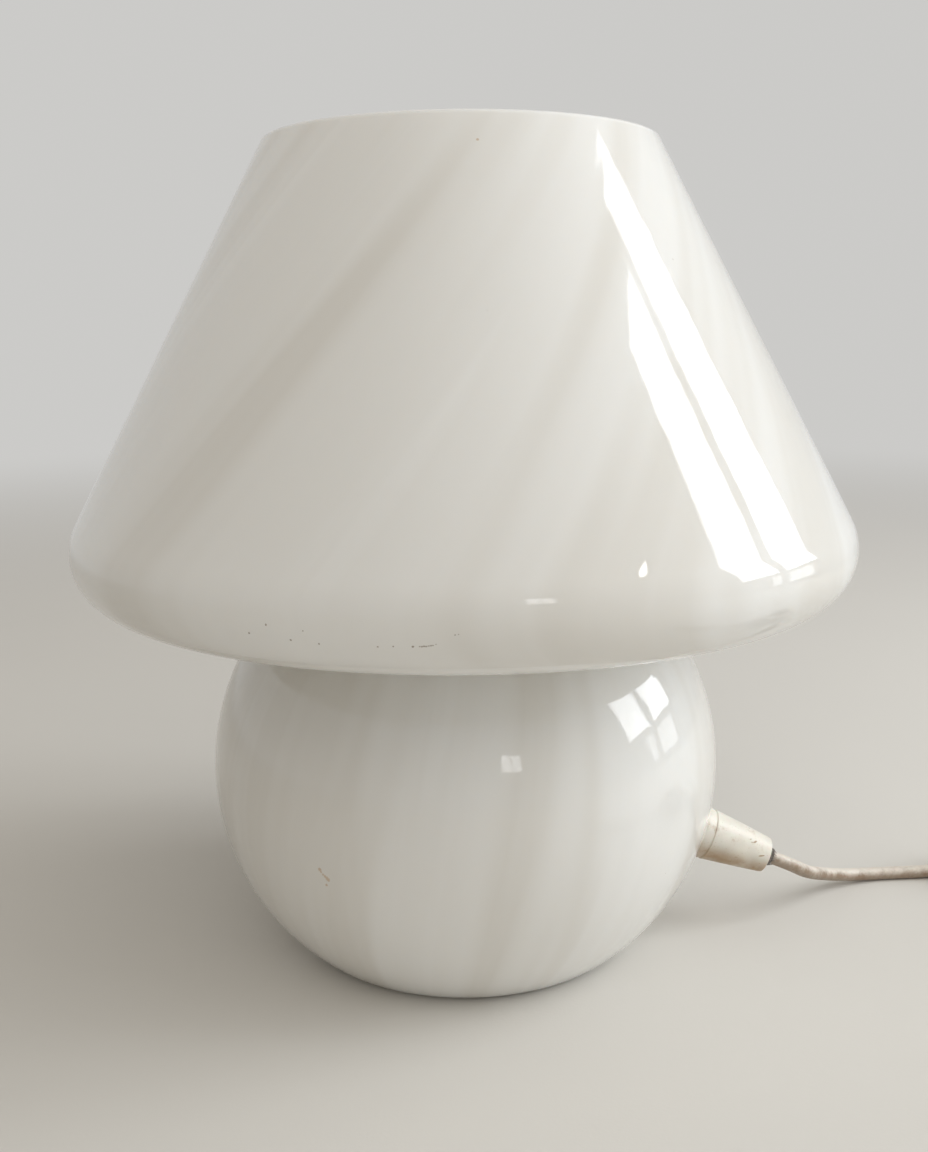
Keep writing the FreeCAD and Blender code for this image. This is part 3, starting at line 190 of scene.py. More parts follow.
def choose(piece: Piece, element: Element, wanted: Callable[[Vector, Vector], bool]) -> int:
    """Select edges or faces of a piece in edit mode, by their place.

    Args:
        piece: The object, which ends in edit mode.
        element: What to select.
        wanted: Takes an edge's two ends, or a face's centre and normal, and says whether to select it.

    Returns:
        How many are selected.
    """
    pick(piece)
    bpy.ops.object.mode_set(mode="EDIT")
    bpy.ops.mesh.select_mode(type=element.value)
    bpy.ops.mesh.select_all(action="DESELECT")
    bpy.ops.object.mode_set(mode="OBJECT")
    mesh, chosen = piece.data, 0
    for item in mesh.edges if element is Element.EDGES else mesh.polygons:
        if element is Element.EDGES:
            item.select = wanted(*(mesh.vertices[index].co for index in item.vertices))
        else:
            item.select = wanted(item.center, item.normal)
        chosen += item.select
    bpy.ops.object.mode_set(mode="EDIT")
    return chosen


def cut_away(piece: Piece, tool: Piece) -> None:
    """Cut one object out of another and drop the tool.

    Args:
        piece: The object that loses material.
        tool: The closed object that is cut out of it.
    """
    pick(piece)
    cutter = piece.modifiers.new("cut", "BOOLEAN")
    cutter.object = tool
    cutter.solver = "EXACT"
    bpy.ops.object.modifier_apply(modifier=cutter.name)
    bpy.data.objects.remove(tool)


def soften(piece: Piece, width: float, segments: int = 3, degrees: float = 30.0) -> None:
    """Round a piece's sharp edges.

    Args:
        piece: The object.
        width: The size of the rounding.
        segments: Steps across it.
        degrees: The least angle of an edge that is rounded.
    """
    pick(piece)
    bevel = piece.modifiers.new("round", "BEVEL")
    bevel.width = width
    bevel.segments = segments
    bevel.limit_method = "ANGLE"
    bevel.angle_limit = math.radians(degrees)
    bevel.harden_normals = False
    bpy.ops.object.modifier_apply(modifier=bevel.name)


def block(name: str, size: Sequence[float], centre: Sequence[float]) -> Piece:
    """Add a box at its size and place.

    Args:
        name: The piece's name.
        size: Its three sides.
        centre: Its centre.

    Returns:
        The new object, at the origin.
    """
    deselect()
    bpy.ops.mesh.primitive_cube_add(size=1.0, location=centre)
    piece = named(name)
    piece.scale = size
    return settle(piece)


def rod(name: str, radius: float, length: float, centre: Sequence[float], axis: Axis = Axis.Z,
        sides: int = 32) -> Piece:
    """Add a round bar along one axis.

    Args:
        name: The piece's name.
        radius: Its radius.
        length: Its length.
        centre: Its centre.
        axis: The axis that it runs along.
        sides: Steps round it.

    Returns:
        The new object, at the origin.
    """
    deselect()
    bpy.ops.mesh.primitive_cylinder_add(vertices=sides, radius=radius, depth=length, location=centre,
                                        rotation=axis.value)
    return settle(named(name))


def join(name: str, pieces: Iterable[Piece]) -> Piece:
    """Join objects into one.

    Args:
        name: The joined piece's name.
        pieces: The objects.

    Returns:
        The joined object.
    """
    pieces = list(pieces)
    pick(pieces[0])
    for piece in pieces:
        piece.select_set(True)
    if len(pieces) > 1:
        bpy.ops.object.join()
    return named(name)


class Pen:
    """Draws an outline of radius and height in the XZ plane, one stroke after another."""

    def __init__(self, name: str, x: float, z: float) -> None:
        """Start an outline.

        Args:
            name: The piece's name.
            x: Distance of its first point from the axis.
            z: Height of its first point.
        """
        deselect()
        bpy.ops.mesh.primitive_plane_add(size=MM)
        self.piece = named(name)
        self.first = (x, z)
        self.last = (x, z)
        bpy.ops.object.mode_set(mode="EDIT")
        bpy.ops.mesh.select_mode(type="VERT")
        bpy.ops.mesh.select_all(action="SELECT")
        bpy.ops.mesh.merge(type="CENTER")
        bpy.ops.transform.translate(value=(x, 0.0, z))

    def line(self, x: float, z: float) -> "Pen":
        """Draw a straight stroke.

        Args:
            x: Where it ends, from the axis.
            z: Where it ends, in height.

        Returns:
            The same pen.
        """
        step = (x - self.last[0], 0.0, z - self.last[1])
        bpy.ops.mesh.extrude_region_move(TRANSFORM_OT_translate={"value": step})
        self.last = (x, z)
        return self

    def arc(self, x: float, z: float, degrees: float, steps: int) -> "Pen":
        """Draw an arc round a centre.

        Args:
            x: The centre's distance from the axis.
            z: The centre's height.
            degrees: The sweep, anticlockwise when positive.
            steps: Strokes in the arc.

        Returns:
            The same pen.
        """
        sweep = math.radians(degrees)
        bpy.ops.mesh.spin(steps=steps, angle=sweep, center=(x, 0.0, z), axis=(0.0, 1.0, 0.0))
        across, up = self.last[0] - x, self.last[1] - z
        self.last = (x + across * math.cos(sweep) - up * math.sin(sweep),
                     z + across * math.sin(sweep) + up * math.cos(sweep))
        return self

    def weld(self) -> None:
        """Merge the points that touch, and select everything."""
        bpy.ops.mesh.select_all(action="SELECT")
        bpy.ops.mesh.remove_doubles(threshold=TOUCHING)
        bpy.ops.mesh.select_all(action="SELECT")

    def finished(self) -> Piece:
        """Turn the faces outwards and leave edit mode.

        Returns:
            The piece.
        """
        bpy.ops.mesh.normals_make_consistent(inside=False)
        bpy.ops.object.mode_set(mode="OBJECT")
        return self.piece

    def turned(self, end: Outline, steps: int = 96) -> Piece:
        """Turn the outline about the Z axis into a closed surface.

        Args:
            end: Where the outline ends.
            steps: Steps of the full turn.

        Returns:
            The finished object.
        """
        if end is Outline.CLOSED:
            self.line(*self.first)
        self.weld()
        bpy.ops.mesh.spin(steps=steps, angle=2 * math.pi, center=(0.0, 0.0, 0.0), axis=(0.0, 0.0, 1.0))
        self.weld()
        return self.finished()

    def thickened(self, width: float) -> Piece:
        """Close the outline and give it a width along Y, half to each side.

        Args:
            width: The whole width.

        Returns:
            The finished object.
        """
        self.line(*self.first)
        self.weld()
        bpy.ops.mesh.edge_face_add()
        bpy.ops.transform.translate(value=(0.0, -width / 2, 0.0))
        bpy.ops.mesh.extrude_region_move(TRANSFORM_OT_translate={"value": (0.0, width, 0.0)})
        bpy.ops.mesh.select_all(action="SELECT")
        return self.finished()


class Graph:
    """The shader nodes of a material or of the world."""

    def __init__(self, tree: bpy.types.NodeTree) -> None:
        """Work on a node tree."""
        self.tree = tree

    def add(self, kind: str, inputs: dict | None = None, **settings: object) -> bpy.types.Node:
        """Add a node.

        Args:
            kind: The node's type, without its common first words.
            inputs: Values or other nodes' outputs, by socket name or number.
            settings: The node's own properties.

        Returns:
            The new node.
        """
        node = self.tree.nodes.new("ShaderNode" + kind)
        for key, value in settings.items():
            setattr(node, key, value)
        for key, value in (inputs or {}).items():
            self.feed(node.inputs[key], value)
        return node

    def feed(self, socket: Socket, value: object) -> None:
        """Set a socket to a value, or link an output to it.

        Args:
            socket: The socket.
            value: A plain value or another node's output.
        """
        if isinstance(value, Socket):
            self.tree.links.new(value, socket)
        else:
            socket.default_value = value

    def place(self) -> Socket:
        """Return the point on the surface, in the lamp's frame."""
        return self.add("TexCoord").outputs["Object"]

    def axes(self, point: Socket) -> tuple[Socket, ...]:
        """Split a point into its three coordinates."""
        return tuple(self.add("SeparateXYZ", {0: point}).outputs[:3])

    def point(self, x: object, y: object, z: object) -> Socket:
        """Put three coordinates together."""
        return self.add("CombineXYZ", {0: x, 1: y, 2: z}).outputs[0]

    def maths(self, operation: str, *values: object) -> Socket:
        """Return a quotient, root or other function of values."""
        return self.add("Math", dict(enumerate(values)), operation=operation).outputs[0]

    def vectors(self, operation: str, *values: object) -> bpy.types.NodeOutputs:
        """Return the outputs of a function of points."""
        return self.add("VectorMath", dict(enumerate(values)), operation=operation).outputs

    def plus(self, first: object, second: object) -> Socket:
        """Add two values."""
        return self.maths("ADD", first, second)

    def times(self, first: object, second: object) -> Socket:
        """Multiply two values."""
        return self.maths("MULTIPLY", first, second)

    def stretched(self, point: Socket, scale: Sequence[float],
                  turn: Sequence[float] = (0.0, 0.0, 0.0)) -> Socket:
        """Turn and stretch the space that a pattern lives in."""
        return self.add("Mapping", {"Vector": point, "Scale": scale, "Rotation": turn}).outputs[0]

    def noise(self, point: Socket, scale: float, detail: float = 2.0, roughness: float = 0.5) -> Socket:
        """Return soft noise from 0 to 1, with blotches about 1/scale metres across."""
        facts = {"Vector": point, "Scale": scale, "Detail": detail, "Roughness": roughness}
        return self.add("TexNoise", facts).outputs[0]

    def cells(self, point: Socket, scale: float) -> Socket:
        """Return the distance to the nearest of scattered points."""
        return self.add("TexVoronoi", {"Vector": point, "Scale": scale}).outputs["Distance"]

    def between(self, value: Socket, low: float, high: float, start: float = 0.0, end: float = 1.0) -> Socket:
        """Ease a value that runs from low to high into one from start to end."""
        facts = {"Value": value, "From Min": low, "From Max": high, "To Min": start, "To Max": end}
        return self.add("MapRange", facts, interpolation_type="SMOOTHSTEP").outputs[0]

    def blend(self, share: object, first: object, second: object) -> Socket:
        """Mix two colours by a share from 0 to 1."""
        first, second = ((*end, 1.0) if isinstance(end, tuple) else end for end in (first, second))
        return self.add("Mix", {0: share, 6: first, 7: second}, data_type="RGBA").outputs[2]

    def relief(self, height: Socket, distance: float, strength: float = 1.0,
               below: Socket | None = None) -> Socket:
        """Turn a height from 0 to 1 into bumps of a real size, on top of others if given."""
        facts = {"Height": height, "Distance": distance, "Strength": strength}
        return self.add("Bump", facts if below is None else {**facts, "Normal": below}).outputs[0]

    def watched(self) -> Socket:
        """Return 1 for rays from the eye, gloss and glass, and 0 for those that only carry light.

        Returns:
            The share at each ray.
        """
        path = self.add("LightPath").outputs
        seen = self.maths("MAXIMUM", path["Is Camera Ray"], path["Is Glossy Ray"])
        return self.maths("MAXIMUM", seen, path["Is Transmission Ray"])


class SurfaceGraph(Graph):
    """One material's shader nodes, round a plain surface shader."""

    def __init__(self, name: str) -> None:
        """Start a material.

        Args:
            name: The material's name.
        """
        self.material = bpy.data.materials.new(name)
        self.material.use_nodes = True
        super().__init__(self.material.node_tree)
        self.tree.nodes.clear()
        self.out = self.add("OutputMaterial")
        self.shader = self.add("BsdfPrincipled")
        self.feed(self.out.inputs["Surface"], self.shader.outputs[0])

    def surface(self, **sockets: object) -> None:
        """Set sockets of the surface shader; an underscore stands for a space."""
        for name, value in sockets.items():
            self.feed(self.shader.inputs[name.replace("_", " ")], value)


def dimmed(colour: RGB, share: float) -> RGB:
    """Return a colour with each of its parts brought down to a share."""
    return tuple(value * share for value in colour)


@dataclass(frozen=True)
class Finish:
    """A surface finish that dresses pieces."""

    name: str = "finish"

    @property
    def label(self) -> str:
        """The material's own name, apart from the frame's slots."""
        return f"{self.name}_finish"

    def material(self) -> bpy.types.Material:
        """Find this finish's material, or make it on first use.

        Returns:
            The material.
        """
        known = bpy.data.materials.get(self.label)
        if known is not None:
            return known
        graph = SurfaceGraph(self.label)
        self.paint(graph, graph.place())
        return graph.material

    def paint(self, graph: SurfaceGraph, place: Socket) -> None:
        """Set the colour, gloss and bumps of this finish from the point on the surface."""
        raise NotImplementedError

    def dress(self, *pieces: Piece) -> None:
        """Give pieces this finish all over.

        Args:
            pieces: The objects.
        """
        for piece in pieces:
            if piece.data.materials:
                for index in range(len(piece.data.materials)):
                    piece.data.materials[index] = self.material()
            else:
                piece.data.materials.append(self.material())

    def fit(self, piece: Piece, body: str, slot: str, *nodes: str) -> Piece:
        """Dress a new piece, let it ride on its body and stand for its CAD nodes.

        Args:
            piece: The object.
            body: The body that carries it.
            slot: Not used.
            nodes: The CAD nodes that it replaces, if any.

        Returns:
            The same object.
        """
        self.dress(piece)
        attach(piece, body)
        if nodes:
            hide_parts(*nodes)
        return piece


@dataclass(frozen=True)
class OpalGlass(Finish):
    """White glass blown in two layers, with milky swirls that wind down the wall, a little grime, and a
    painted highlight along the lip.
    """

    name: str = "opal_glass"
    milk: RGB = (0.85, 0.845, 0.82)
    thin: RGB = (0.735, 0.715, 0.67)
    pale: RGB = (0.90, 0.895, 0.88)
    grime: RGB = (0.20, 0.14, 0.08)
    amber: RGB = (0.46, 0.24, 0.05)
    shade_twist: float = 1.27
    ball_twist: float = 2.0
    waist_height: float = 0.1237
    waist_radius: float = 0.050
    ribbons: float = 2.7
    threads: float = 9.0
    specks: tuple[Spot, ...] = (
        (-0.0477, -0.1153, 0.1341, 0.00034), (-0.0523, -0.1125, 0.1314, 0.00036),
        (-0.0417, -0.1166, 0.1306, 0.00038), (-0.0347, -0.1186, 0.1301, 0.00034),
        (-0.0384, -0.1185, 0.1333, 0.00022), (-0.0205, -0.1219, 0.1301, 0.00028),
        (-0.0168, -0.1225, 0.1303, 0.00024), (-0.0121, -0.1231, 0.1304, 0.00038),
        (-0.0105, -0.1233, 0.1304, 0.00026), (-0.0100, -0.1233, 0.1304, 0.00030),
        (-0.0095, -0.1234, 0.1305, 0.00034), (-0.0090, -0.1234, 0.1305, 0.00032),
        (-0.0084, -0.1235, 0.1306, 0.00024), (-0.0079, -0.1236, 0.1307, 0.00030),
        (-0.0074, -0.1236, 0.1308, 0.00022), (-0.0067, -0.1238, 0.1311, 0.00018),
        (-0.0022, -0.1246, 0.1335, 0.00024), (-0.0014, -0.1247, 0.1336, 0.00020),
    )
    stains: tuple[Spot, ...] = (
        (0.0045, -0.0657, 0.2519, 0.00052), (-0.0422, -0.0723, 0.0515, 0.00075),
        (-0.0418, -0.0724, 0.0508, 0.00050), (-0.0412, -0.0726, 0.0501, 0.00045),
        (-0.0406, -0.0729, 0.0496, 0.00060), (-0.0401, -0.0731, 0.0491, 0.00075),
        (-0.0397, -0.0732, 0.0487, 0.00085), (-0.0403, -0.0725, 0.0468, 0.00055),
    )
    ribbon_start: float = 0.4
    thread_start: float = 1.7
    ribbon_share: float = 0.77
    thread_share: float = 0.09
    fold_share: float = 0.14
    drift: float = 0.9
    speck_depth: float = 0.72
    stain_depth: float = 0.48
    wave_height: float = 0.0012
    ripple_height: float = 0.00022
    ribbon_height: float = 0.0008
    glow: float = 0.30
    glow_reach: float = 0.006
    coat: float = 0.45
    # Heights over which the lip is paled as a painted highlight, and how strongly.
    rim: Pair = (0.2588, 0.2602)
    lip_highlight_share: float = 0.6

    def wound(self, graph: Graph, offset: float) -> Socket:
        """Return a point that stays nearly the same all along one swirl.

        Args:
            graph: The material's nodes.
            offset: Where round the lamp the pattern starts, in radians.

        Returns:
            The point, on a circle of unit radius that drifts slowly with height.
        """
        x, y, z = graph.axes(graph.place())
        angle = graph.maths("ARCTAN2", y, x)
        radius = graph.maths("SQRT", graph.plus(graph.times(x, x), graph.times(y, y)))
        spread = graph.maths("LOGARITHM", graph.maths("DIVIDE", radius, self.waist_radius), math.e)
        above = graph.maths("GREATER_THAN", z, self.waist_height)
        shade = graph.times(graph.times(spread, self.shade_twist), above)
        drop = graph.maths("MINIMUM", graph.maths("SUBTRACT", z, self.waist_height), 0.0)
        ball = graph.times(drop, -self.ball_twist)
        along = graph.plus(graph.plus(angle, offset), graph.plus(shade, ball))
        across, back = graph.maths("COSINE", along), graph.maths("SINE", along)
        return graph.point(across, back, graph.times(z, self.drift))

    def spots(self, graph: Graph, places: Iterable[Sequence[float]]) -> Socket:
        """Return 1 inside small ragged spots and 0 outside.

        Args:
            graph: The material's nodes.
            places: Each spot's middle and its reach.

        Returns:
            The spots' share at each point.
        """
        place = graph.place()
        ragged = graph.add("TexNoise", {"Vector": place, "Scale": 2200.0, "Detail": 2.0}).outputs["Color"]
        shares = []
        for x, y, z, reach in places:
            offset = graph.vectors("SUBTRACT", place, (x, y, z))[0]
            scaled = graph.vectors("MULTIPLY_ADD", offset, (1 / reach,) * 3, ragged)[0]
            centred = graph.vectors("SUBTRACT", scaled, (0.5, 0.5, 0.5))[0]
            away = graph.vectors("LENGTH", centred)["Value"]
            shares.append(graph.between(away, 1.0, 0.5))
        total = shares[0]
        for share in shares[1:]:
            total = graph.maths("MAXIMUM", total, share)
        return total

    def paint(self, graph: SurfaceGraph, place: Socket) -> None:
        """Paint swirls, a soft wave of the surface, specks, scratches, stains and a painted highlight along
        the lip.

        Args:
            graph: The material's nodes.
            place: The point on the surface.
        """
        height = graph.axes(place)[2]
        broad = graph.noise(self.wound(graph, self.ribbon_start), self.ribbons, 2.0, 0.5)
        fine = graph.noise(self.wound(graph, self.thread_start), self.threads, 3.0, 0.6)
        ribbon = graph.between(broad, 0.42, 0.58)
        fold = graph.between(graph.maths("PINGPONG", graph.times(broad, 7.0), 1.0), 0.72, 1.0)
        thread = graph.between(fine, 0.50, 0.74)
        share = graph.plus(graph.times(ribbon, self.ribbon_share), graph.times(thread, self.thread_share))
        share = graph.plus(share, graph.times(fold, self.fold_share))
        colour = graph.blend(share, self.thin, self.milk)
        patch = graph.between(graph.noise(place, 15.0, 1.0), 0.60, 0.64)
        stray = graph.times(graph.between(graph.cells(place, 75.0), 0.036, 0.026), patch)
        marks = graph.maths("MAXIMUM", self.spots(graph, self.specks), stray)
        colour = graph.blend(graph.times(marks, self.speck_depth), colour, self.grime)
        stained = graph.times(self.spots(graph, self.stains), self.stain_depth)
        colour = graph.blend(stained, colour, self.amber)
        # Painted highlight: the top of the lip is paled towards the pale colour.
        rim = graph.between(height, *self.rim)
        colour = graph.blend(graph.times(rim, self.lip_highlight_share), colour, self.pale)
        film = graph.between(graph.noise(place, 22.0, 4.0, 0.6), 0.35, 0.75, 0.03, 0.10)
        wave = graph.relief(graph.noise(place, 13.0, 0.0), self.wave_height, 0.7)
        furrows = graph.noise(self.wound(graph, self.ribbon_start), 9.0, 1.0)
        ripple = graph.relief(furrows, self.ripple_height, 0.6, wave)
        relief = graph.relief(broad, self.ribbon_height, 0.4, ripple)
        graph.surface(Base_Color=colour, Roughness=film, Normal=relief, IOR=1.5,
                      Subsurface_Weight=self.glow, Subsurface_Scale=self.glow_reach,
                      Subsurface_Radius=(1.0, 0.9, 0.8), Coat_Weight=self.coat, Coat_Roughness=0.015,
                      Coat_IOR=1.5)


@dataclass(frozen=True)
class Moulded(Finish):
    """Moulded plastic with a fine grain, yellowed and dirty where dust gathers."""

    colour: RGB = (0.8, 0.78, 0.72)
    stain: RGB = (0.35, 0.24, 0.13)
    staining: float = 0.3
    gloss: float = 0.32
    grain: float = 2600.0
    grain_height: float = 0.00004

    def dirt_and_painted_shade(self, graph: Graph, place: Socket) -> Socket | float:
        """Return this piece's own dirt and painted shade; plain plastic has none."""
        return 0.0

    def paint(self, graph: SurfaceGraph, place: Socket) -> None:
        """Paint grain, tone, and stains in blotches and specks.

        Args:
            graph: The material's nodes.
            place: The point on the surface.
        """
        tone = graph.noise(place, 90.0, 3.0)
        colour = graph.blend(graph.between(tone, 0.3, 0.7), dimmed(self.colour, 0.86), self.colour)
        blotch = graph.between(graph.noise(place, 160.0, 5.0, 0.7), 0.56, 0.86)
        speck = graph.between(graph.cells(place, 900.0), 0.16, 0.06)
        dirt = graph.plus(blotch, graph.times(speck, 0.5))
        # Adds the piece's own dirt; on the cord grip this includes painted shade on its underside.
        dirt = graph.maths("MINIMUM", graph.plus(dirt, self.dirt_and_painted_shade(graph, place)), 1.0)
        colour = graph.blend(graph.times(dirt, self.staining), colour, self.stain)
        rough = graph.between(graph.noise(place, 220.0, 3.0), 0.3, 0.7, self.gloss - 0.06, self.gloss + 0.08)
        bumps = graph.relief(graph.noise(place, self.grain, 2.0), self.grain_height, 0.5)
        graph.surface(Base_Color=colour, Roughness=rough, Normal=bumps, IOR=1.47,
                      Subsurface_Weight=0.12, Subsurface_Scale=0.002)


@dataclass(frozen=True)
class GripPlastic(Moulded):
    """Plastic of the cord grip, brown underneath with dust and painted shade, and with a few short rubbed
    smears.
    """

    root: Point = (0.0789, 0.0, 0.0326)
    droop: float = 21.5
    shaded_underside: Pair = (0.0018, -0.0048)

    def dirt_and_painted_shade(self, graph: Graph, place: Socket) -> Socket:
        """Return painted shade with dust below the grip's middle line, and the dirt of smears round it.

        Args:
            graph: The material's nodes.
            place: The point on the surface.

        Returns:
            The share of painted shade and dirt.
        """
        tilt = math.radians(self.droop)
        up = (math.sin(tilt), 0.0, math.cos(tilt))
        level = graph.vectors("SUBTRACT", place, self.root)[0]
        above = graph.vectors("DOT_PRODUCT", level, up)["Value"]
        # Painted shade with dust: below its middle line the grip is darkened towards the stain colour.
        below = graph.between(above, *self.shaded_underside)
        cloud = graph.between(graph.noise(place, 130.0, 4.0, 0.6), 0.30, 0.65, 0.55, 1.0)
        rubbed = graph.stretched(place, (0.45, 1.0, 1.6), (0.0, tilt, 0.0))
        smear = graph.between(graph.noise(rubbed, 310.0, 2.0, 0.6), 0.66, 0.72)
        return graph.plus(graph.times(below, cloud), smear)


@dataclass(frozen=True)
class Metal(Finish):
    """Sheet or turned metal with rubbed streaks and a thin dull film."""

    colour: RGB = (0.6, 0.6, 0.6)
    tarnish: RGB = (0.3, 0.3, 0.3)
    tarnishing: float = 0.35
    gloss: float = 0.28
    stretch: Point = (1.0, 1.0, 9.0)
    rub_height: float = 0.00003

    def paint(self, graph: SurfaceGraph, place: Socket) -> None:
        """Paint rub marks one way and tarnish in clouds.

        Args:
            graph: The material's nodes.
            place: The point on the surface.
        """
        rubbed = graph.noise(graph.stretched(place, self.stretch), 420.0, 3.0, 0.6)
        cloud = graph.between(graph.noise(place, 95.0, 4.0, 0.6), 0.42, 0.72)
        colour = graph.blend(graph.times(cloud, self.tarnishing), self.colour, self.tarnish)
        rough = graph.between(rubbed, 0.3, 0.7, self.gloss - 0.08, self.gloss + 0.12)
        bumps = graph.relief(rubbed, self.rub_height, 0.4)
        graph.surface(Base_Color=colour, Roughness=rough, Normal=bumps, Metallic=1.0)


@dataclass(frozen=True)
class Sheath(Finish):
    """Off-white flexible cord sheath with the lay of its cores showing through, dirty in smudges and scuffs,
    and darker underneath as painted shade.
    """

    name: str = "cord_sheath"
    colour: RGB = (0.75, 0.69, 0.61)
    dirt: RGB = (0.235, 0.155, 0.095)
    underside_shade_share: float = 0.74
    smudge_share: float = 0.20
    scuff_share: float = 0.14
    dirtiest: float = 0.9
    lay_height: float = 0.00025
    grain_height: float = 0.00003

    def paint(self, graph: SurfaceGraph, place: Socket) -> None:
        """Paint smudges, scuffs, and a painted shade that darkens the underside by where the surface faces.

        Args:
            graph: The material's nodes.
            place: The point on the surface.
        """
        facing = graph.axes(graph.add("NewGeometry").outputs["Normal"])[2]
        smudge = graph.between(graph.noise(place, 120.0, 5.0, 0.7), 0.42, 0.72)
        uneven = graph.plus(facing, graph.times(smudge, -0.45))
        # Painted shade: the surface is darker where its normal points down, broken up by smudges.
        under = graph.between(uneven, 0.80, -0.30)
        scuff = graph.between(graph.noise(place, 700.0, 4.0, 0.65), 0.5, 0.75)
        share = graph.plus(graph.times(under, self.underside_shade_share), graph.times(smudge, self.smudge_share))
        share = graph.plus(share, graph.times(scuff, self.scuff_share))
        share = graph.maths("MINIMUM", share, self.dirtiest)
        colour = graph.blend(share, self.colour, self.dirt)
        rough = graph.between(graph.noise(place, 300.0, 3.0), 0.3, 0.7, 0.34, 0.52)
        soft = graph.relief(graph.noise(place, 240.0, 2.0), self.lay_height, 0.5)
        fine = graph.relief(graph.noise(place, 2200.0, 2.0), self.grain_height, 0.5, soft)
        graph.surface(Base_Color=colour, Roughness=rough, Normal=fine, IOR=1.5,
                      Subsurface_Weight=0.1, Subsurface_Scale=0.0015)


@dataclass(frozen=True)
class Yarn(Finish):
    """Dark grey textile sleeving, matt and hairy."""

    name: str = "sleeving_yarn"
    colour: RGB = (0.085, 0.072, 0.060)
    worn: RGB = (0.24, 0.205, 0.17)
    braid_height: float = 0.0003

    def paint(self, graph: SurfaceGraph, place: Socket) -> None:
        """Paint a fine braid with worn, lighter fibres.

        Args:
            graph: The material's nodes.
            place: The point on the surface.
        """
        fibres = graph.noise(graph.stretched(place, (1.0, 3.0, 1.0)), 1500.0, 3.0, 0.7)
        colour = graph.blend(graph.between(fibres, 0.4, 0.7), self.colour, self.worn)
        braid = graph.relief(graph.cells(place, 1500.0), self.braid_height, 0.8)
        graph.surface(Base_Color=colour, Roughness=0.92, Normal=braid, Sheen_Weight=0.4, Sheen_Roughness=0.5)


@dataclass(frozen=True)
class BulbOpal(Finish):
    """Bulb glass with a white powder coat inside, so it is milky and very smooth."""

    name: str = "bulb_opal"
    colour: RGB = (0.83, 0.83, 0.81)
    wave_height: float = 0.0003

    def paint(self, graph: SurfaceGraph, place: Socket) -> None:
        """Paint milky glass, a little thinner in patches.

        Args:
            graph: The material's nodes.
            place: The point on the surface.
        """
        patch = graph.between(graph.noise(place, 30.0, 3.0), 0.3, 0.7)
        colour = graph.blend(patch, dimmed(self.colour, 0.95), self.colour)
        wave = graph.relief(graph.noise(place, 40.0, 0.0), self.wave_height, 0.5)
        graph.surface(Base_Color=colour, Roughness=0.07, Normal=wave, IOR=1.5,
                      Subsurface_Weight=0.3, Subsurface_Scale=0.006)


@dataclass(frozen=True)
class ClearGlass(Finish):
    """Plain clear glass of the bulb's stem."""

    name: str = "clear_glass"
    colour: RGB = (0.92, 0.96, 0.95)
    wave_height: float = 0.0002

    def paint(self, graph: SurfaceGraph, place: Socket) -> None:
        """Paint clear glass with faint waves.

        Args:
            graph: The material's nodes.
            place: The point on the surface.
        """
        wave = graph.relief(graph.noise(place, 120.0, 1.0), self.wave_height, 0.4)
        graph.surface(Base_Color=(*self.colour, 1.0), Roughness=0.03, Normal=wave, Transmission_Weight=0.9)


@dataclass(frozen=True)
class Paper(Finish):
    """Pale matt floor that runs into the backdrop without a line."""

    name: str = "floor_paper"
    colour: RGB = (0.72, 0.70, 0.66)
    backdrop: RGB = (0.60, 0.595, 0.58)
    fade: Pair = (0.38, 1.9)
    tooth_height: float = 0.0001

    def paint(self, graph: SurfaceGraph, place: Socket) -> None:
        """Paint paper with a barely visible tooth, and fade it into the backdrop.

        Args:
            graph: The material's nodes.
            place: The point on the surface.
        """
        colour = graph.blend(graph.noise(place, 6.0, 3.0), dimmed(self.colour, 0.97), self.colour)
        tooth = graph.relief(graph.noise(place, 900.0, 2.0), self.tooth_height, 0.3)
        graph.surface(Base_Color=colour, Roughness=0.85, Normal=tooth)
        far = graph.between(graph.vectors("LENGTH", place)["Value"], *self.fade)
        paper = graph.add("Emission", {"Color": (*self.backdrop, 1.0), "Strength": 1.0}).outputs[0]
        share = graph.times(far, graph.watched())
        cove = graph.add("MixShader", {0: share, 1: graph.shader.outputs[0], 2: paper})
        graph.feed(graph.out.inputs["Surface"], cove.outputs[0])


OPAL = OpalGlass()
# The ivory grip's stain colour also darkens its underside as painted shade.
IVORY = GripPlastic("ivory_plastic", (0.84, 0.805, 0.72), (0.345, 0.205, 0.09), 0.84, 0.34)
WHITE = Moulded("white_plastic", (0.765, 0.74, 0.68), (0.40, 0.33, 0.24), 0.22, 0.30)
BLACK = Moulded("black_phenolic", (0.022, 0.021, 0.020), (0.10, 0.09, 0.08), 0.35, 0.26)
PIN_SLEEVE = Moulded("pin_sleeve", (0.045, 0.045, 0.045), (0.14, 0.13, 0.12), 0.3, 0.34)
STEATITE = Moulded("steatite", (0.70, 0.67, 0.58), (0.42, 0.36, 0.27), 0.3, 0.22)
BLACK_GLASS = Moulded("black_glass_seal", (0.012, 0.012, 0.014), (0.04, 0.04, 0.04), 0.2, 0.12)
ZINC = Metal("zinc_steel", (0.60, 0.60, 0.585), (0.34, 0.33, 0.30), 0.45, 0.34, (1.0, 6.0, 1.0))
SPRING = Metal("spring_steel", (0.40, 0.41, 0.43), (0.18, 0.19, 0.24), 0.5, 0.30)
BRASS = Metal("brass_sheet", (0.72, 0.53, 0.26), (0.36, 0.25, 0.12), 0.5, 0.26)
ALUMINIUM = Metal("bulb_aluminium", (0.78, 0.78, 0.77), (0.46, 0.46, 0.45), 0.35, 0.30)
NICKEL = Metal("nickel_pins", (0.70, 0.67, 0.61), (0.42, 0.38, 0.32), 0.3, 0.20, (6.0, 1.0, 6.0))
WIRE = Metal("filament_wire", (0.30, 0.30, 0.30), (0.12, 0.12, 0.12), 0.4, 0.35)
SHEATH = Sheath()
YARN = Yarn()
BULB_OPAL = BulbOpal()
CLEAR = ClearGlass()
PAPER = Paper()


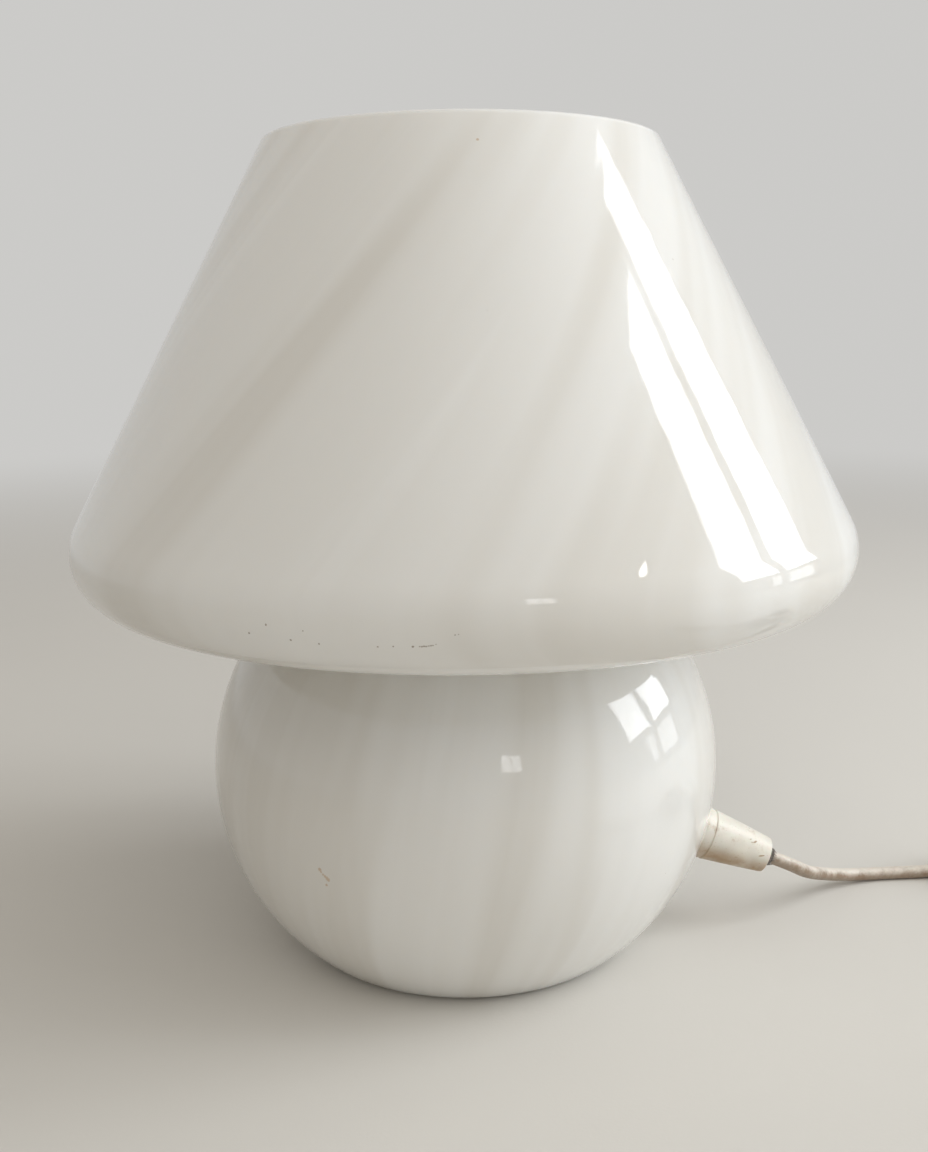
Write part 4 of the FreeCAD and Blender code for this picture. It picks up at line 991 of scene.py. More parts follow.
@dataclass
class GlassBody:
    """The blown body: closed foot, ball, hidden waist, sloping underside, rolled edge, cone and lip."""

    height: float = 0.2605
    shade_radius: float = 0.125
    mouth_radius: float = 0.062
    roll_radius: float = 0.0175
    roll_height: float = 0.137
    ball_arc: float = 0.0775
    ball_offset: float = 0.0068
    ball_height: float = 0.061
    foot_corner: float = 0.010
    foot_ring: float = 0.038
    foot_kick: float = 0.002
    wall: float = 0.0035
    waist_radius: float = OPAL.waist_radius
    waist_fillet: float = 0.006
    outlet_angle: float = IVORY.droop
    outlet_hole: float = 0.0053
    round_steps: int = 192

    @property
    def waist(self) -> Pair:
        """Centre of the waist's fillet.

        Returns:
            Its distance from the axis and its height.
        """
        x = self.waist_radius + self.waist_fillet
        rise = math.sqrt((self.ball_arc + self.waist_fillet) ** 2 - (x - self.ball_offset) ** 2)
        return x, self.ball_height + rise

    @property
    def outlet(self) -> Matrix:
        """Place of the cord outlet.

        Returns:
            Its frame: origin on the ball's face, Z outwards along the cord.
        """
        tilt = math.radians(self.outlet_angle)
        x = self.ball_offset + self.ball_arc * math.cos(tilt)
        z = self.ball_height - self.ball_arc * math.sin(tilt)
        return Matrix.Translation((x, 0.0, z)) @ Matrix.Rotation(math.pi / 2 + tilt, 4, "Y")

    def build(self) -> None:
        """Blow the body, drill the outlet and dress it."""
        lip = self.wall / 2
        lip_x, lip_z = self.mouth_radius - lip, self.height - lip
        roll_x, roll_z = self.shade_radius - self.roll_radius, self.roll_height
        waist_x, waist_z = self.waist
        reach = math.hypot(roll_x - lip_x, roll_z - lip_z)
        cone = math.degrees(math.atan2(roll_z - lip_z, roll_x - lip_x)
                            + math.acos((lip - self.roll_radius) / reach))
        under = math.degrees(math.asin((self.waist_fillet + self.roll_radius)
                                       / math.hypot(roll_x - waist_x, roll_z - waist_z))
                             - math.atan2(roll_z - waist_z, roll_x - waist_x))
        ball_in = self.ball_arc - self.foot_corner
        flat = self.ball_offset + math.sqrt(ball_in ** 2 - (self.ball_height - self.foot_corner) ** 2)
        foot = -math.degrees(math.acos((flat - self.ball_offset) / ball_in))
        neck = math.degrees(math.acos((waist_x - self.ball_offset) / (self.ball_arc + self.waist_fillet)))

        def on(x: float, z: float, radius: float, degrees: float) -> Pair:
            """Return the point of a circle at an angle."""
            return x + radius * math.cos(math.radians(degrees)), z + radius * math.sin(math.radians(degrees))

        inner_roll = self.roll_radius - self.wall
        pen = Pen("opal_body", 0.0, self.foot_kick)
        pen.line(self.foot_ring, 0.0).line(flat, 0.0)
        pen.arc(flat, self.foot_corner, foot + 90.0, 8)
        pen.arc(self.ball_offset, self.ball_height, neck - foot, 48)
        pen.arc(waist_x, waist_z, -(90.0 + neck + under), 20)
        pen.line(*on(roll_x, roll_z, self.roll_radius, -90.0 - under))
        pen.arc(roll_x, roll_z, cone + 90.0 + under, 28)
        pen.line(*on(lip_x, lip_z, lip, cone))
        pen.arc(lip_x, lip_z, 180.0, 10)
        pen.line(*on(roll_x, roll_z, inner_roll, cone))
        pen.arc(roll_x, roll_z, -(cone + 90.0 + under), 20)
        pen.line(*on(waist_x, waist_z, self.waist_fillet + self.wall, 90.0 - under))
        pen.arc(waist_x, waist_z, 90.0 + neck + under, 20)
        pen.arc(self.ball_offset, self.ball_height, foot - neck, 36)
        pen.arc(flat, self.foot_corner, -(foot + 90.0), 6)
        pen.line(0.0, self.wall + self.foot_kick)
        glass = pen.turned(Outline.ON_AXIS, self.round_steps)
        drill = rod("outlet_drill", self.outlet_hole, 4 * self.wall, (0.0, 0.0, 0.0), sides=48)
        cut_away(glass, settle(drill, self.outlet))
        OPAL.fit(smooth(glass, 40.0), "lamp", "opal_glass", "glass_body")
        LOG.info("opal body: cone %.1f deg, underside %.1f deg", cone, under)


@dataclass
class CordGrip:
    """Ivory grip that guides the cord out of the ball, and the dark sleeving in its mouth."""

    place: Matrix
    length: float = 0.027
    flange_radius: float = 0.0099
    flange: float = 0.0016
    flange_edge: float = 0.0006
    root_radius: float = 0.0093
    collar: float = 0.0051
    groove: tuple[Pair, ...] = (
        (-0.0012, 0.0), (-0.0006, -0.00018), (-0.0001, -0.0003), (0.0, -0.0003), (0.00015, -0.0001),
        (0.0003, 0.00006), (0.0005, 0.00009), (0.0009, 0.0))
    belly: float = 0.0001
    tip_radius: float = 0.0061
    rim: float = 0.0002
    bore: float = 0.0032
    mouth: float = 0.0044
    mouth_depth: float = 0.011
    shank: float = 0.005
    shank_length: float = 0.014
    sock_radius: float = 0.0040
    sock_tip: float = 0.0029
    sock_bore: float = 0.0024
    sock_proud: float = 0.0024
    sock_gap: float = 0.0002
    sock_bend: float = 0.0008
    sock_bulge: float = 0.00012
    sock_folds: float = 14.0
    strands: int = 60
    strand_seed: int = 11
    strand_root: float = 0.00013
    strand_tip: float = 0.00004
    strand_reach: Pair = (0.0007, 0.0019)
    strand_span: Pair = (0.25, 0.95)
    strand_aside: float = 0.08
    strand_sunk: float = 0.00002
    strand_lift: Pair = (-0.12, 0.10)
    strand_lean: float = 0.30
    strand_cling: float = 0.9

    def taper(self, z: float) -> float:
        """Return the grip's radius at a height above its flange."""
        slope = (self.root_radius - self.tip_radius) / (self.length - self.flange)
        return self.root_radius - slope * (z - self.flange)

    def body(self) -> Piece:
        """Turn the grip with its rounded flange, the groove behind its collar, taper and plain mouth.

        Returns:
            The grip, in its own frame.
        """
        rim, edge = self.rim, self.flange_edge
        pen = Pen("cord_grip", self.bore, -self.shank_length)
        pen.line(self.shank, -self.shank_length).line(self.shank, 0.0)
        pen.line(self.flange_radius - edge, 0.0)
        pen.arc(self.flange_radius - edge, edge, 90.0, 5)
        pen.line(self.flange_radius, self.flange - edge)
        pen.arc(self.flange_radius - edge, self.flange - edge, 90.0, 5)
        pen.line(self.root_radius, self.flange)
        for ahead, depth in self.groove:
            pen.line(self.taper(self.collar + ahead) + depth, self.collar + ahead)
        for share in (0.3, 0.55, 0.8, 0.95):
            z = self.collar + share * (self.length - self.collar)
            pen.line(self.taper(z) + self.belly * math.sin(math.pi * share), z)
        pen.line(self.tip_radius, self.length - rim)
        pen.arc(self.tip_radius - rim, self.length - rim, 90.0, 6)
        pen.line(self.mouth + rim, self.length)
        pen.arc(self.mouth + rim, self.length - rim, 90.0, 4)
        pen.line(self.mouth, self.length - self.mouth_depth)
        pen.line(self.bore, self.length - self.mouth_depth)
        return smooth(pen.turned(Outline.CLOSED, 96), 32.0)

    def strand(self, index: int, dice: random.Random) -> Piece:
        """Make one frayed yarn end that lies along the sleeving.

        Args:
            index: Which of the strands it is.
            dice: Where its length, place and lean come from.

        Returns:
            The strand, in the grip's frame.
        """
        deselect()
        reach = dice.uniform(*self.strand_reach)
        bpy.ops.mesh.primitive_cone_add(vertices=5, radius1=self.strand_root, radius2=self.strand_tip,
                                        depth=reach, location=(0.0, 0.0, reach / 2))
        yarn = settle(named("yarn_end"))
        round_turn = 2 * math.pi * index / self.strands + dice.uniform(-self.strand_aside, self.strand_aside)
        share = dice.uniform(*self.strand_span)
        stand = self.sock_radius + share * (self.sock_tip - self.sock_radius) - self.strand_sunk
        inward = math.atan2(self.sock_radius - self.sock_tip, self.sock_proud)
        lean = (Matrix.Rotation(dice.uniform(*self.strand_lift) - inward * self.strand_cling, 4, "Y")
                @ Matrix.Rotation(dice.uniform(-self.strand_lean, self.strand_lean), 4, "X"))
        root = Matrix.Translation((stand, 0.0, self.length + share * self.sock_proud))
        return settle(yarn, Matrix.Rotation(round_turn, 4, "Z") @ root @ lean)

    def sock(self) -> Piece:
        """Make the sleeving: a short tube that draws in to the cord and frays into yarn ends laid along it.

        Returns:
            The sleeving, in the grip's frame.
        """
        start = self.length - self.mouth_depth + self.sock_gap
        end = self.length + self.sock_proud
        pen = Pen("cord_sleeving", self.sock_bore, start)
        pen.line(self.sock_radius, start).line(self.sock_radius, self.length - self.sock_bend)
        for share in (0.2, 0.4, 0.6, 0.8):
            bulge = self.sock_bulge * math.sin(self.sock_folds * share)
            pen.line(self.sock_radius + share * (self.sock_tip - self.sock_radius) + bulge,
                     self.length + share * self.sock_proud)
        pen.line(self.sock_tip, end - self.sock_gap).line(self.sock_tip - self.sock_gap, end)
        pen.line(self.sock_bore, end)
        tube = pen.turned(Outline.CLOSED, 48)
        dice = random.Random(self.strand_seed)
        yarns = [self.strand(index, dice) for index in range(self.strands)]
        return smooth(join("cord_sleeving", [tube, *yarns]), 40.0)

    def build(self) -> Piece:
        """Make and place both pieces.

        Returns:
            The sleeving.
        """
        IVORY.fit(settle(self.body(), self.place), "lamp", "ivory_plastic", "grip_bush")
        sock = YARN.fit(settle(self.sock(), self.place), "lamp", "grey_sleeving", "cord_sock")
        LOG.info("cord grip and sleeving with %d yarn ends", self.strands)
        return sock


@dataclass
class Lampholder:
    """Black lampholder, its lock ring and the metal pieces, with the opal bulb screwed in."""

    nodes: dict[str, Piece]
    ribs: int = 36
    rib: float = 0.0005
    ring_edge: float = 0.0005
    ring_ledge: float = 0.0018
    ring_collar: float = 0.8
    ring_bore: float = 0.7037
    sleeve_outer: float = 0.8667
    sleeve_bore: float = 0.7956
    sleeve_lip: float = 0.7111
    sleeve_edge: float = 0.0007
    lip_thick: float = 0.0014
    flange_thick: float = 0.002
    bulb_radius: float = 0.030
    neck_radius: float = 0.014
    flare_radius: float = 0.038
    throat: float = 0.01225
    throat_top: float = 0.0032
    neck_start: float = 0.0056

    def lock_ring(self) -> None:
        """Turn the lock ring and raise grip ribs on its collar."""
        low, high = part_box("lock_ring")
        rim, edge = high[0], self.ring_edge
        collar, bore = rim * self.ring_collar, rim * self.ring_bore
        ledge = low[2] + self.ring_ledge
        columns = self.ribs * 4
        pen = Pen("ribbed_lock_ring", bore, low[2])
        pen.line(rim - edge, low[2]).line(rim, low[2] + edge).line(rim, ledge - edge).line(rim - edge, ledge)
        pen.line(collar - self.rib, ledge).line(collar - self.rib, high[2] - edge)
        pen.line(collar - self.rib - edge, high[2]).line(bore, high[2])
        ring = pen.turned(Outline.CLOSED, columns)

        def is_rib(centre: Vector, normal: Vector) -> bool:
            """Tell whether a face belongs to a rib.

            Args:
                centre: The face's centre.
                normal: Its normal.

            Returns:
                Whether it is on the collar's wall, in one of two of each four columns.
            """
            radius = math.hypot(centre.x, centre.y)
            column = int(round(math.atan2(centre.y, centre.x) / (2 * math.pi) * columns - 0.5))
            near = abs(radius - collar + self.rib) < 0.3 * MM
            return near and abs(normal.z) < 0.3 and column % 4 < 2

        chosen = choose(ring, Element.FACES, is_rib)
        bpy.ops.mesh.extrude_region_shrink_fatten(TRANSFORM_OT_shrink_fatten={"value": self.rib})
        bpy.ops.object.mode_set(mode="OBJECT")
        LOG.info("lock ring with %d raised faces", chosen)
        BLACK.fit(smooth(ring, 30.0), "lamp", "black_plastic", "lock_ring")

    def sleeve(self) -> None:
        """Turn the lampholder's sleeve with a rounded upper lip and a flange under the spider."""
        low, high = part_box("holder_sleeve")
        flange, edge = high[0], self.sleeve_edge
        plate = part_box("support_spider")[0][2]
        outer, bore, lip = flange * self.sleeve_outer, flange * self.sleeve_bore, flange * self.sleeve_lip
        under = plate - self.flange_thick
        pen = Pen("holder_tube", bore, low[2])
        pen.line(outer, low[2]).line(outer, under).line(flange, under).line(flange, plate)
        pen.line(outer, plate).line(outer, high[2] - edge)
        pen.arc(outer - edge, high[2] - edge, 90.0, 5)
        pen.line(lip + edge, high[2])
        pen.arc(lip + edge, high[2] - edge, 90.0, 5)
        pen.line(lip, high[2] - self.lip_thick).line(bore, high[2] - self.lip_thick)
        BLACK.fit(smooth(pen.turned(Outline.CLOSED, 96), 32.0), "lamp", "black_plastic", "holder_sleeve")

    def bulb(self) -> None:
        """Turn the pear-shaped bulb glass."""
        low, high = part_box("bulb_glass")
        centre = high[2] - self.bulb_radius
        flare_x = self.neck_radius + self.flare_radius
        flare_z = centre - math.sqrt((self.bulb_radius + self.flare_radius) ** 2 - flare_x ** 2)
        sweep = math.degrees(math.acos(flare_x / (self.bulb_radius + self.flare_radius)))
        pen = Pen("pear_bulb", 0.0, low[2])
        pen.line(self.throat, low[2]).line(self.throat, low[2] + self.throat_top)
        pen.line(self.neck_radius, low[2] + self.neck_start).line(self.neck_radius, flare_z)
        pen.arc(flare_x, flare_z, -sweep, 14)
        pen.arc(0.0, centre, 90.0 + sweep, 36)
        BULB_OPAL.fit(smooth(pen.turned(Outline.ON_AXIS, 96), 50.0), "bulb", "bulb_opal", "bulb_glass")

    def build(self) -> None:
        """Make the smooth pieces and dress the others."""
        self.lock_ring()
        self.sleeve()
        self.bulb()
        for finish, names in {
            ZINC: ("grip_washer", "grip_nut", "support_spider", "clip_rivets", "grub_screw"),
            SPRING: ("plate_clips",),
            BLACK: ("holder_cap", "cord_nipple"),
            STEATITE: ("holder_insert",),
            BRASS: ("screw_shell", "centre_contact", "terminal_screws", "bulb_tip"),
            BLACK_GLASS: ("bulb_seal",),
            ALUMINIUM: ("bulb_cap",),
            CLEAR: ("bulb_stem",),
            WIRE: ("bulb_filament",),
            SHEATH: ("cord_inner",),
        }.items():
            finish.dress(*(self.nodes[name] for name in names))
        LOG.info("lampholder and bulb")


@dataclass
class InlineSwitch:
    """Two-part switch case on the cord, with a rocker in its window."""

    nodes: dict[str, Piece]
    corner: float = 0.007
    edge: float = 0.0016
    seam: float = 0.0003
    window: Pair = (0.0206, 0.0104)
    frame: float = 0.0012
    well: float = 0.018
    well_drop: float = 0.0055
    grooves: int = 4
    groove_radius: float = 0.0008
    groove_length: float = 0.013
    groove_start: float = 0.0168
    groove_pitch: float = 0.0024
    groove_rise: float = 0.00035
    pivot: Point = (0.219, 0.0292, 0.011)
    tilt: float = 7.0
    crown: float = 0.0066
    waist: float = 0.0053
    dish: float = 0.0006
    skirt: float = 0.0022
    keel: Pair = (0.003, 0.0032)
    play: Pair = (0.0009, 0.0008)
    screw_offset: float = 0.018
    sink_radius: float = 0.0029
    sink_depth: float = 0.0044
    head_radius: float = 0.0027
    head_height: float = 0.0018
    head_slot: Point = (0.006, 0.0008, 0.0012)
    shank_radius: float = 0.0014
    cover_round: float = 0.00022
    base_round: float = 0.0002
    rocker_round: float = 0.00035
    screw_round: float = 0.00015

    @staticmethod
    def span(node: str) -> tuple[Vector, Vector, Vector]:
        """Return a CAD node's lowest corner, its highest corner and its middle."""
        low, high = (Vector(corner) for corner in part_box(node))
        return low, high, (low + high) / 2

    def case(self, name: str, node: str, upper: bool) -> Piece:
        """Shape one half of the case.

        Args:
            name: The piece's name.
            node: The CAD node that gives its size and place.
            upper: Whether it is the half with the window.

        Returns:
            The half, not yet cut.
        """
        low, high, middle = self.span(node)
        size = high - low
        half = block(name, size, middle)
        rim, joint = (high.z, low.z) if upper else (low.z, high.z)

        def at(height: float) -> Callable[[Vector, Vector], bool]:
            """Return a test for edges that lie at a height."""
            return lambda a, b: abs(a.z - height) < MM / 10 and abs(b.z - height) < MM / 10

        for wanted, width, steps in ((lambda a, b: abs(a.z - b.z) > size.z / 2, self.corner, 10),
                                     (at(rim), self.edge, 5), (at(joint), self.seam, 2)):
            choose(half, Element.EDGES, wanted)
            bpy.ops.mesh.bevel(offset=width, segments=steps, affect="EDGES", clamp_overlap=False)
        bpy.ops.object.mode_set(mode="OBJECT")
        return half

    def cover(self) -> Piece:
        """Make the upper half, with a framed window and finger grooves at both ends.

        Returns:
            The finished half.
        """
        high, middle = self.span("switch_cover")[1:]
        half = self.case("switch_top", "switch_cover", True)
        long, wide = (side + 2 * self.frame for side in self.window)
        cut_away(half, block("frame_recess", (long, wide, self.frame), (middle.x, middle.y, high.z)))
        bottom = (middle.x, middle.y, high.z - self.well_drop)
        cut_away(half, block("window_well", (*self.window, self.well), bottom))
        grooves = []
        for side in Side:
            for index in range(self.grooves):
                x = middle.x + side.value * (self.groove_start + self.groove_pitch * index)
                place = (x, middle.y, high.z + self.groove_rise)
                grooves.append(rod("finger_groove", self.groove_radius, self.groove_length, place,
                                   Axis.Y, 16))
        cut_away(half, join("finger_grooves", grooves))
        soften(half, self.cover_round, 2, 35.0)
        return smooth(half, 30.0)

    def base(self) -> Piece:
        """Make the lower half, with a recess for each screw.

        Returns:
            The finished half.
        """
        low, _, middle = self.span("switch_base")
        half = self.case("switch_bottom", "switch_base", False)
        sinks = [rod("screw_sink", self.sink_radius, self.sink_depth,
                     (middle.x + side.value * self.screw_offset, middle.y, low.z)) for side in Side]
        cut_away(half, join("screw_sinks", sinks))
        soften(half, self.base_round, 2, 35.0)
        return smooth(half, 30.0)

    def rocker(self) -> Piece:
        """Make the rocker: two gently dished ends that meet in a low ridge, on a rounded keel.

        Returns:
            The finished rocker, tipped.
        """
        half, width = self.window[0] / 2 - self.play[0], self.window[1] - self.play[1]
        across, deep = self.keel
        pen = Pen("rocker_cap", -across, -deep)
        pen.line(across, -deep).line(half, self.skirt).line(half, self.crown)
        for step in range(4, -5, -1):
            share = step / 5
            dip = self.dish * math.sin(math.pi * abs(share))
            pen.line(share * half, self.waist + (self.crown - self.waist) * abs(share) - dip)
        pen.line(-half, self.crown).line(-half, self.skirt)
        cap = pen.thickened(width)
        soften(cap, self.rocker_round, 3, 40.0)
        smooth(cap, 35.0)
        return settle(cap, Matrix.Translation(self.pivot) @ Matrix.Rotation(math.radians(self.tilt), 4, "Y"))

    def screws(self) -> Piece:
        """Make the two case screws with slotted, domed heads.

        Returns:
            Both screws as one piece.
        """
        low, high, middle = self.span("switch_screws")
        heads, rise = [], self.head_height / 2
        for side in Side:
            x = middle.x + side.value * self.screw_offset
            head = rod("screw_head", self.head_radius, self.head_height, (x, middle.y, low.z + rise))
            cut_away(head, block("screw_slot", self.head_slot, (x, middle.y, low.z)))
            shank = rod("screw_shank", self.shank_radius, high.z - low.z - self.head_height,
                        (x, middle.y, (low.z + high.z) / 2 + rise))
            heads += [head, shank]
        screws = join("case_screws", heads)
        soften(screws, self.screw_round, 2, 50.0)
        return smooth(screws, 40.0)

    def build(self) -> list[Piece]:
        """Make the switch.

        Returns:
            Every piece of it.
        """
        pieces = [
            WHITE.fit(self.cover(), "lamp", "white_plastic", "switch_cover"),
            WHITE.fit(self.base(), "lamp", "white_plastic", "switch_base"),
            WHITE.fit(self.rocker(), "rocker", "white_plastic", "switch_rocker"),
            ZINC.fit(self.screws(), "lamp", "zinc_steel", "switch_screws"),
        ]
        blades, pin = self.nodes["switch_blades"], self.nodes["rocker_pin"]
        BRASS.dress(blades)
        ZINC.dress(pin)
        LOG.info("inline switch of %d pieces", len(pieces) + 2)
        return pieces + [blades, pin]


@dataclass
class TwoPinPlug:
    """Flat plug: waisted moulding, ringed cord sleeve, two round pins with insulated roots."""

    entry: Point = (0.206, -0.106, 0.0068)
    width: float = 0.026
    tail_width: float = 0.013
    tail_flare: Pair = (0.003, 0.004)
    shoulder: float = 0.011
    waist: Pair = (0.0012, 0.013)
    shoulder_inset: float = 0.0008
    front: float = 0.007
    length: float = 0.035
    thick: float = 0.0136
    rounding: float = 0.0024
    grips: int = 5
    grip_radius: float = 0.0007
    grip_length: float = 0.014
    grip_start: float = 0.003
    grip_pitch: float = 0.0026
    grip_rise: float = 0.00025
    sleeve: float = 0.014
    sleeve_root: float = 0.0046
    sleeve_tip: float = 0.0034
    sleeve_sunk: float = 0.001
    rings: int = 5
    ring_start: tuple[Pair, ...] = ((0.0005, 0.0), (0.0, 0.0003))
    ring_end: tuple[Pair, ...] = ((0.0, -0.0008), (0.0006, -0.0005))
    bore: float = 0.0024
    pin: float = 0.002
    pin_length: float = 0.019
    pin_spacing: float = 0.0186
    pin_root: float = 0.004
    pin_tip: float = 0.0012
    pin_cover: float = 0.010
    cover_root: float = 0.003
    cover_wall: float = 0.00015
    cover_lip: float = 0.0002
    pin_step: float = 0.0001

    @property
    def place(self) -> Matrix:
        """The plug's frame: origin at the cord's entry, Z into the plug, X across the pins."""
        return Matrix.Translation(self.entry) @ Matrix.Rotation(math.pi / 2, 4, "X")

    @property
    def face(self) -> float:
        """Where the moulding ends, in the plug's frame."""
        return self.sleeve + self.length

    def tube(self) -> Piece:
        """Turn the cord sleeve with its raised rings.

        Returns:
            The sleeve.
        """
        pen = Pen("plug_sleeve", self.bore, 0.0)
        pitch = (self.sleeve + self.sleeve_sunk) / self.rings
        for index in range(self.rings):
            z = index * pitch
            radius = self.sleeve_tip + (self.sleeve_root - self.sleeve_tip) * z / self.sleeve
            for inset, up in self.ring_start:
                pen.line(radius - inset, z + up)
            for inset, up in self.ring_end:
                pen.line(radius - inset, z + pitch + up)
        pen.line(self.bore, self.sleeve + self.sleeve_sunk)
        return pen.turned(Outline.CLOSED, 48)

    def moulding(self) -> Piece:
        """Make the moulding with its finger grooves, and its sleeve.

        Returns:
            Both as one piece.
        """
        half, tail = self.width / 2, self.tail_width / 2
        flare, rise = self.tail_flare
        inset, back = self.waist
        edge = [(half, self.face), (half, self.face - self.front), (half - inset, self.face - back),
                (half - self.shoulder_inset, self.sleeve + self.shoulder), (tail + flare, self.sleeve + rise),
                (tail, self.sleeve)]
        pen = Pen("plug_moulding", -half, self.face)
        for x, z in edge + [(-x, z) for x, z in reversed(edge[1:])]:
            pen.line(x, z)
        body = pen.thickened(self.thick)
        soften(body, self.rounding, 6, 25.0)
        grips = []
        for side in Side:
            for index in range(self.grips):
                place = (0.0, side.value * (self.thick / 2 + self.grip_rise),
                         self.sleeve + self.shoulder + self.grip_start + self.grip_pitch * index)
                grips.append(rod("grip_groove", self.grip_radius, self.grip_length, place,
                                 Axis.X, 14))
        cut_away(body, join("grip_grooves", grips))
        return smooth(join("plug_moulding", [body, self.tube()]), 28.0)

    def pins(self) -> tuple[Piece, Piece]:
        """Make the metal pins and the insulation round their roots.

        Returns:
            The pins and their insulation, each pair as one piece.
        """
        root, end = self.face - self.pin_root, self.face + self.pin_length
        covered = self.face + self.pin_cover
        neck, inner, start = self.pin - self.pin_step, self.pin - self.cover_wall, self.face - self.cover_root
        metal, covers = [], []
        for side in Side:
            aside = Matrix.Translation((side.value * self.pin_spacing / 2, 0.0, 0.0))
            pen = Pen("plug_pin", 0.0, root)
            pen.line(neck, root).line(neck, covered).line(self.pin, covered + self.pin_step)
            pen.line(self.pin, end - self.pin_tip)
            pen.arc(self.pin - self.pin_tip, end - self.pin_tip, 90.0, 6)
            pen.line(0.0, end)
            metal.append(settle(pen.turned(Outline.ON_AXIS, 32), aside))
            pen = Pen("pin_cover", inner, start)
            pen.line(self.pin, start).line(self.pin, covered - self.cover_lip).line(inner, covered)
            covers.append(settle(pen.turned(Outline.CLOSED, 32), aside))
        return smooth(join("bright_pins", metal), 35.0), smooth(join("pin_covers", covers), 35.0)

    def build(self) -> list[Piece]:
        """Make the plug.

        Returns:
            Every piece of it.
        """
        moulding, (pins, covers) = self.moulding(), self.pins()
        for piece in (moulding, pins, covers):
            settle(piece, self.place)
        WHITE.fit(moulding, "lamp", "white_plastic", "plug_body")
        NICKEL.fit(pins, "lamp", "nickel_pins", "plug_pins")
        PIN_SLEEVE.fit(covers, "lamp", "black_plastic")
        LOG.info("two-pin plug")
        return [moulding, pins, covers]


@dataclass
class MainsCord:
    """The free cord: grip, switch, coil, plug, on one smooth line."""

    outlet: Matrix
    diameter: float = 0.0046
    length: float = 1.8
    gap: float = 0.0008
    coil_outer: float = 0.032
    coil_x: float = 0.246
    coil_y: float = -0.024
    coil_turns: float = 9.25
    coil_layers: int = 4
    points_per_turn: int = 16
    step_over: float = 0.25
    grip_length: float = CordGrip.length
    grip_ahead: float = 0.010
    switch_entry: float = 0.024
    switch_split: float = 0.005
    plug_depth: float = 0.008
    plug_run_in: float = 0.009
    coil_run_in: float = 0.0135
    coil_run_out: float = 0.010
    lead_bends: tuple[Point, ...] = (
        (0.1208, 0.0055, 0.01105), (0.1290, 0.0145, 0.00625), (0.1385, 0.0225, 0.00205),
        (0.1500, 0.0272, 0.00025), (0.1620, 0.0286, 0.0), (0.1735, 0.0292, 0.0001),
        (0.1840, 0.0292, 0.00185))
    link_bends: tuple[Point, ...] = (
        (0.0120, 0.0, 0.00265), (0.0240, -0.0055, 0.0008), (0.0315, -0.0150, 0.0))
    tail_bends: tuple[Point, ...] = (
        (0.0125, -0.0045, 0.01265), (0.0025, -0.0145, 0.00845), (0.0, -0.0280, 0.00565))

    @property
    def floor(self) -> float:
        """Height of the cord's middle where it lies on the table."""
        return self.diameter / 2 + 0.05 * MM

    @property
    def top(self) -> float:
        """Height of the cord's middle in the coil's last layer."""
        return self.floor + (self.diameter + self.gap) * (self.coil_layers - 1)

    def coil_point(self, turns: float) -> Vector:
        """Find the coil's middle line.

        Args:
            turns: How many turns have been wound.

        Returns:
            The point there.
        """
        per_layer = self.coil_turns / self.coil_layers
        pitch = self.diameter + self.gap
        layer = min(int(turns / per_layer), self.coil_layers - 1)
        within = turns - layer * per_layer
        radius = self.coil_outer - pitch * (within if layer % 2 == 0 else per_layer - within)
        height = self.floor + pitch * layer
        for crossing in range(1, self.coil_layers):
            off = turns - crossing * per_layer
            if abs(off) < self.step_over:
                bend = pitch * (self.step_over - abs(off)) ** 2
                radius += bend if crossing % 2 == 1 else -bend
                climb = 0.5 * math.sin(math.pi * off / (2 * self.step_over))
                height = self.floor + pitch * (crossing - 0.5 + climb)
        radius /= math.cos(math.pi / self.points_per_turn)
        angle = -2 * math.pi * turns
        x, y = self.coil_x + radius * math.cos(angle), self.coil_y + radius * math.sin(angle)
        return Vector((x, y, height))

    def laid(self, bends: Iterable[Point], x: float = 0.0, y: float = 0.0) -> list[Vector]:
        """Place bends of the cord, each given from a point and from the height of a cord on the table.

        Args:
            bends: The bends.
            x: Where the point is, along the lamp's X.
            y: Where it is, along Y.

        Returns:
            Their control points.
        """
        return [Vector((x + ahead, y + aside, self.floor + up)) for ahead, aside, up in bends]

    def lead(self) -> list[Vector]:
        """Return the route from the grip's mouth into the switch.

        Returns:
            Its control points.
        """
        x, y = InlineSwitch.pivot[:2]
        mouth, out = (self.outlet @ Vector((0.0, 0.0, self.grip_length + ahead))
                      for ahead in (0.0, self.grip_ahead))
        return [mouth, out, *self.laid(self.lead_bends),
                Vector((x - self.switch_entry, y, self.switch_split))]

    def link(self) -> list[Vector]:
        """Return the route from the switch to the coil.

        Returns:
            Its control points.
        """
        x, y = InlineSwitch.pivot[:2]
        out, split = x + self.switch_entry, self.switch_split
        coil = (self.coil_x + self.coil_outer, self.coil_y + self.diameter + self.coil_run_in, self.floor)
        return [Vector((x, y, split)), Vector((out, y, split)), *self.laid(self.link_bends, out, y),
                Vector(coil)]

    def coil(self) -> list[Vector]:
        """Return the coil's turns, with the straight ends that it is laid down and taken up on.

        Returns:
            Its control points.
        """
        steps = int(self.coil_turns * self.points_per_turn)
        start = Vector((self.coil_x + self.coil_outer, self.coil_y + self.diameter, self.floor))
        end = Vector((self.coil_x - self.diameter, self.coil_y - self.coil_outer, self.top))
        return [start] + [self.coil_point(step / self.points_per_turn) for step in range(1, steps)] + [end]

    def tail(self) -> list[Vector]:
        """Return the route from the coil to the plug.

        Returns:
            Its control points.
        """
        x, y, z = TwoPinPlug.entry
        below = self.coil_y - self.coil_outer
        coil = (self.coil_x - self.diameter - self.coil_run_out, below, self.top)
        return [Vector(coil), *self.laid(self.tail_bends, x, below), Vector((x, y + self.plug_run_in, z)),
                Vector((x, y - self.plug_depth, z))]

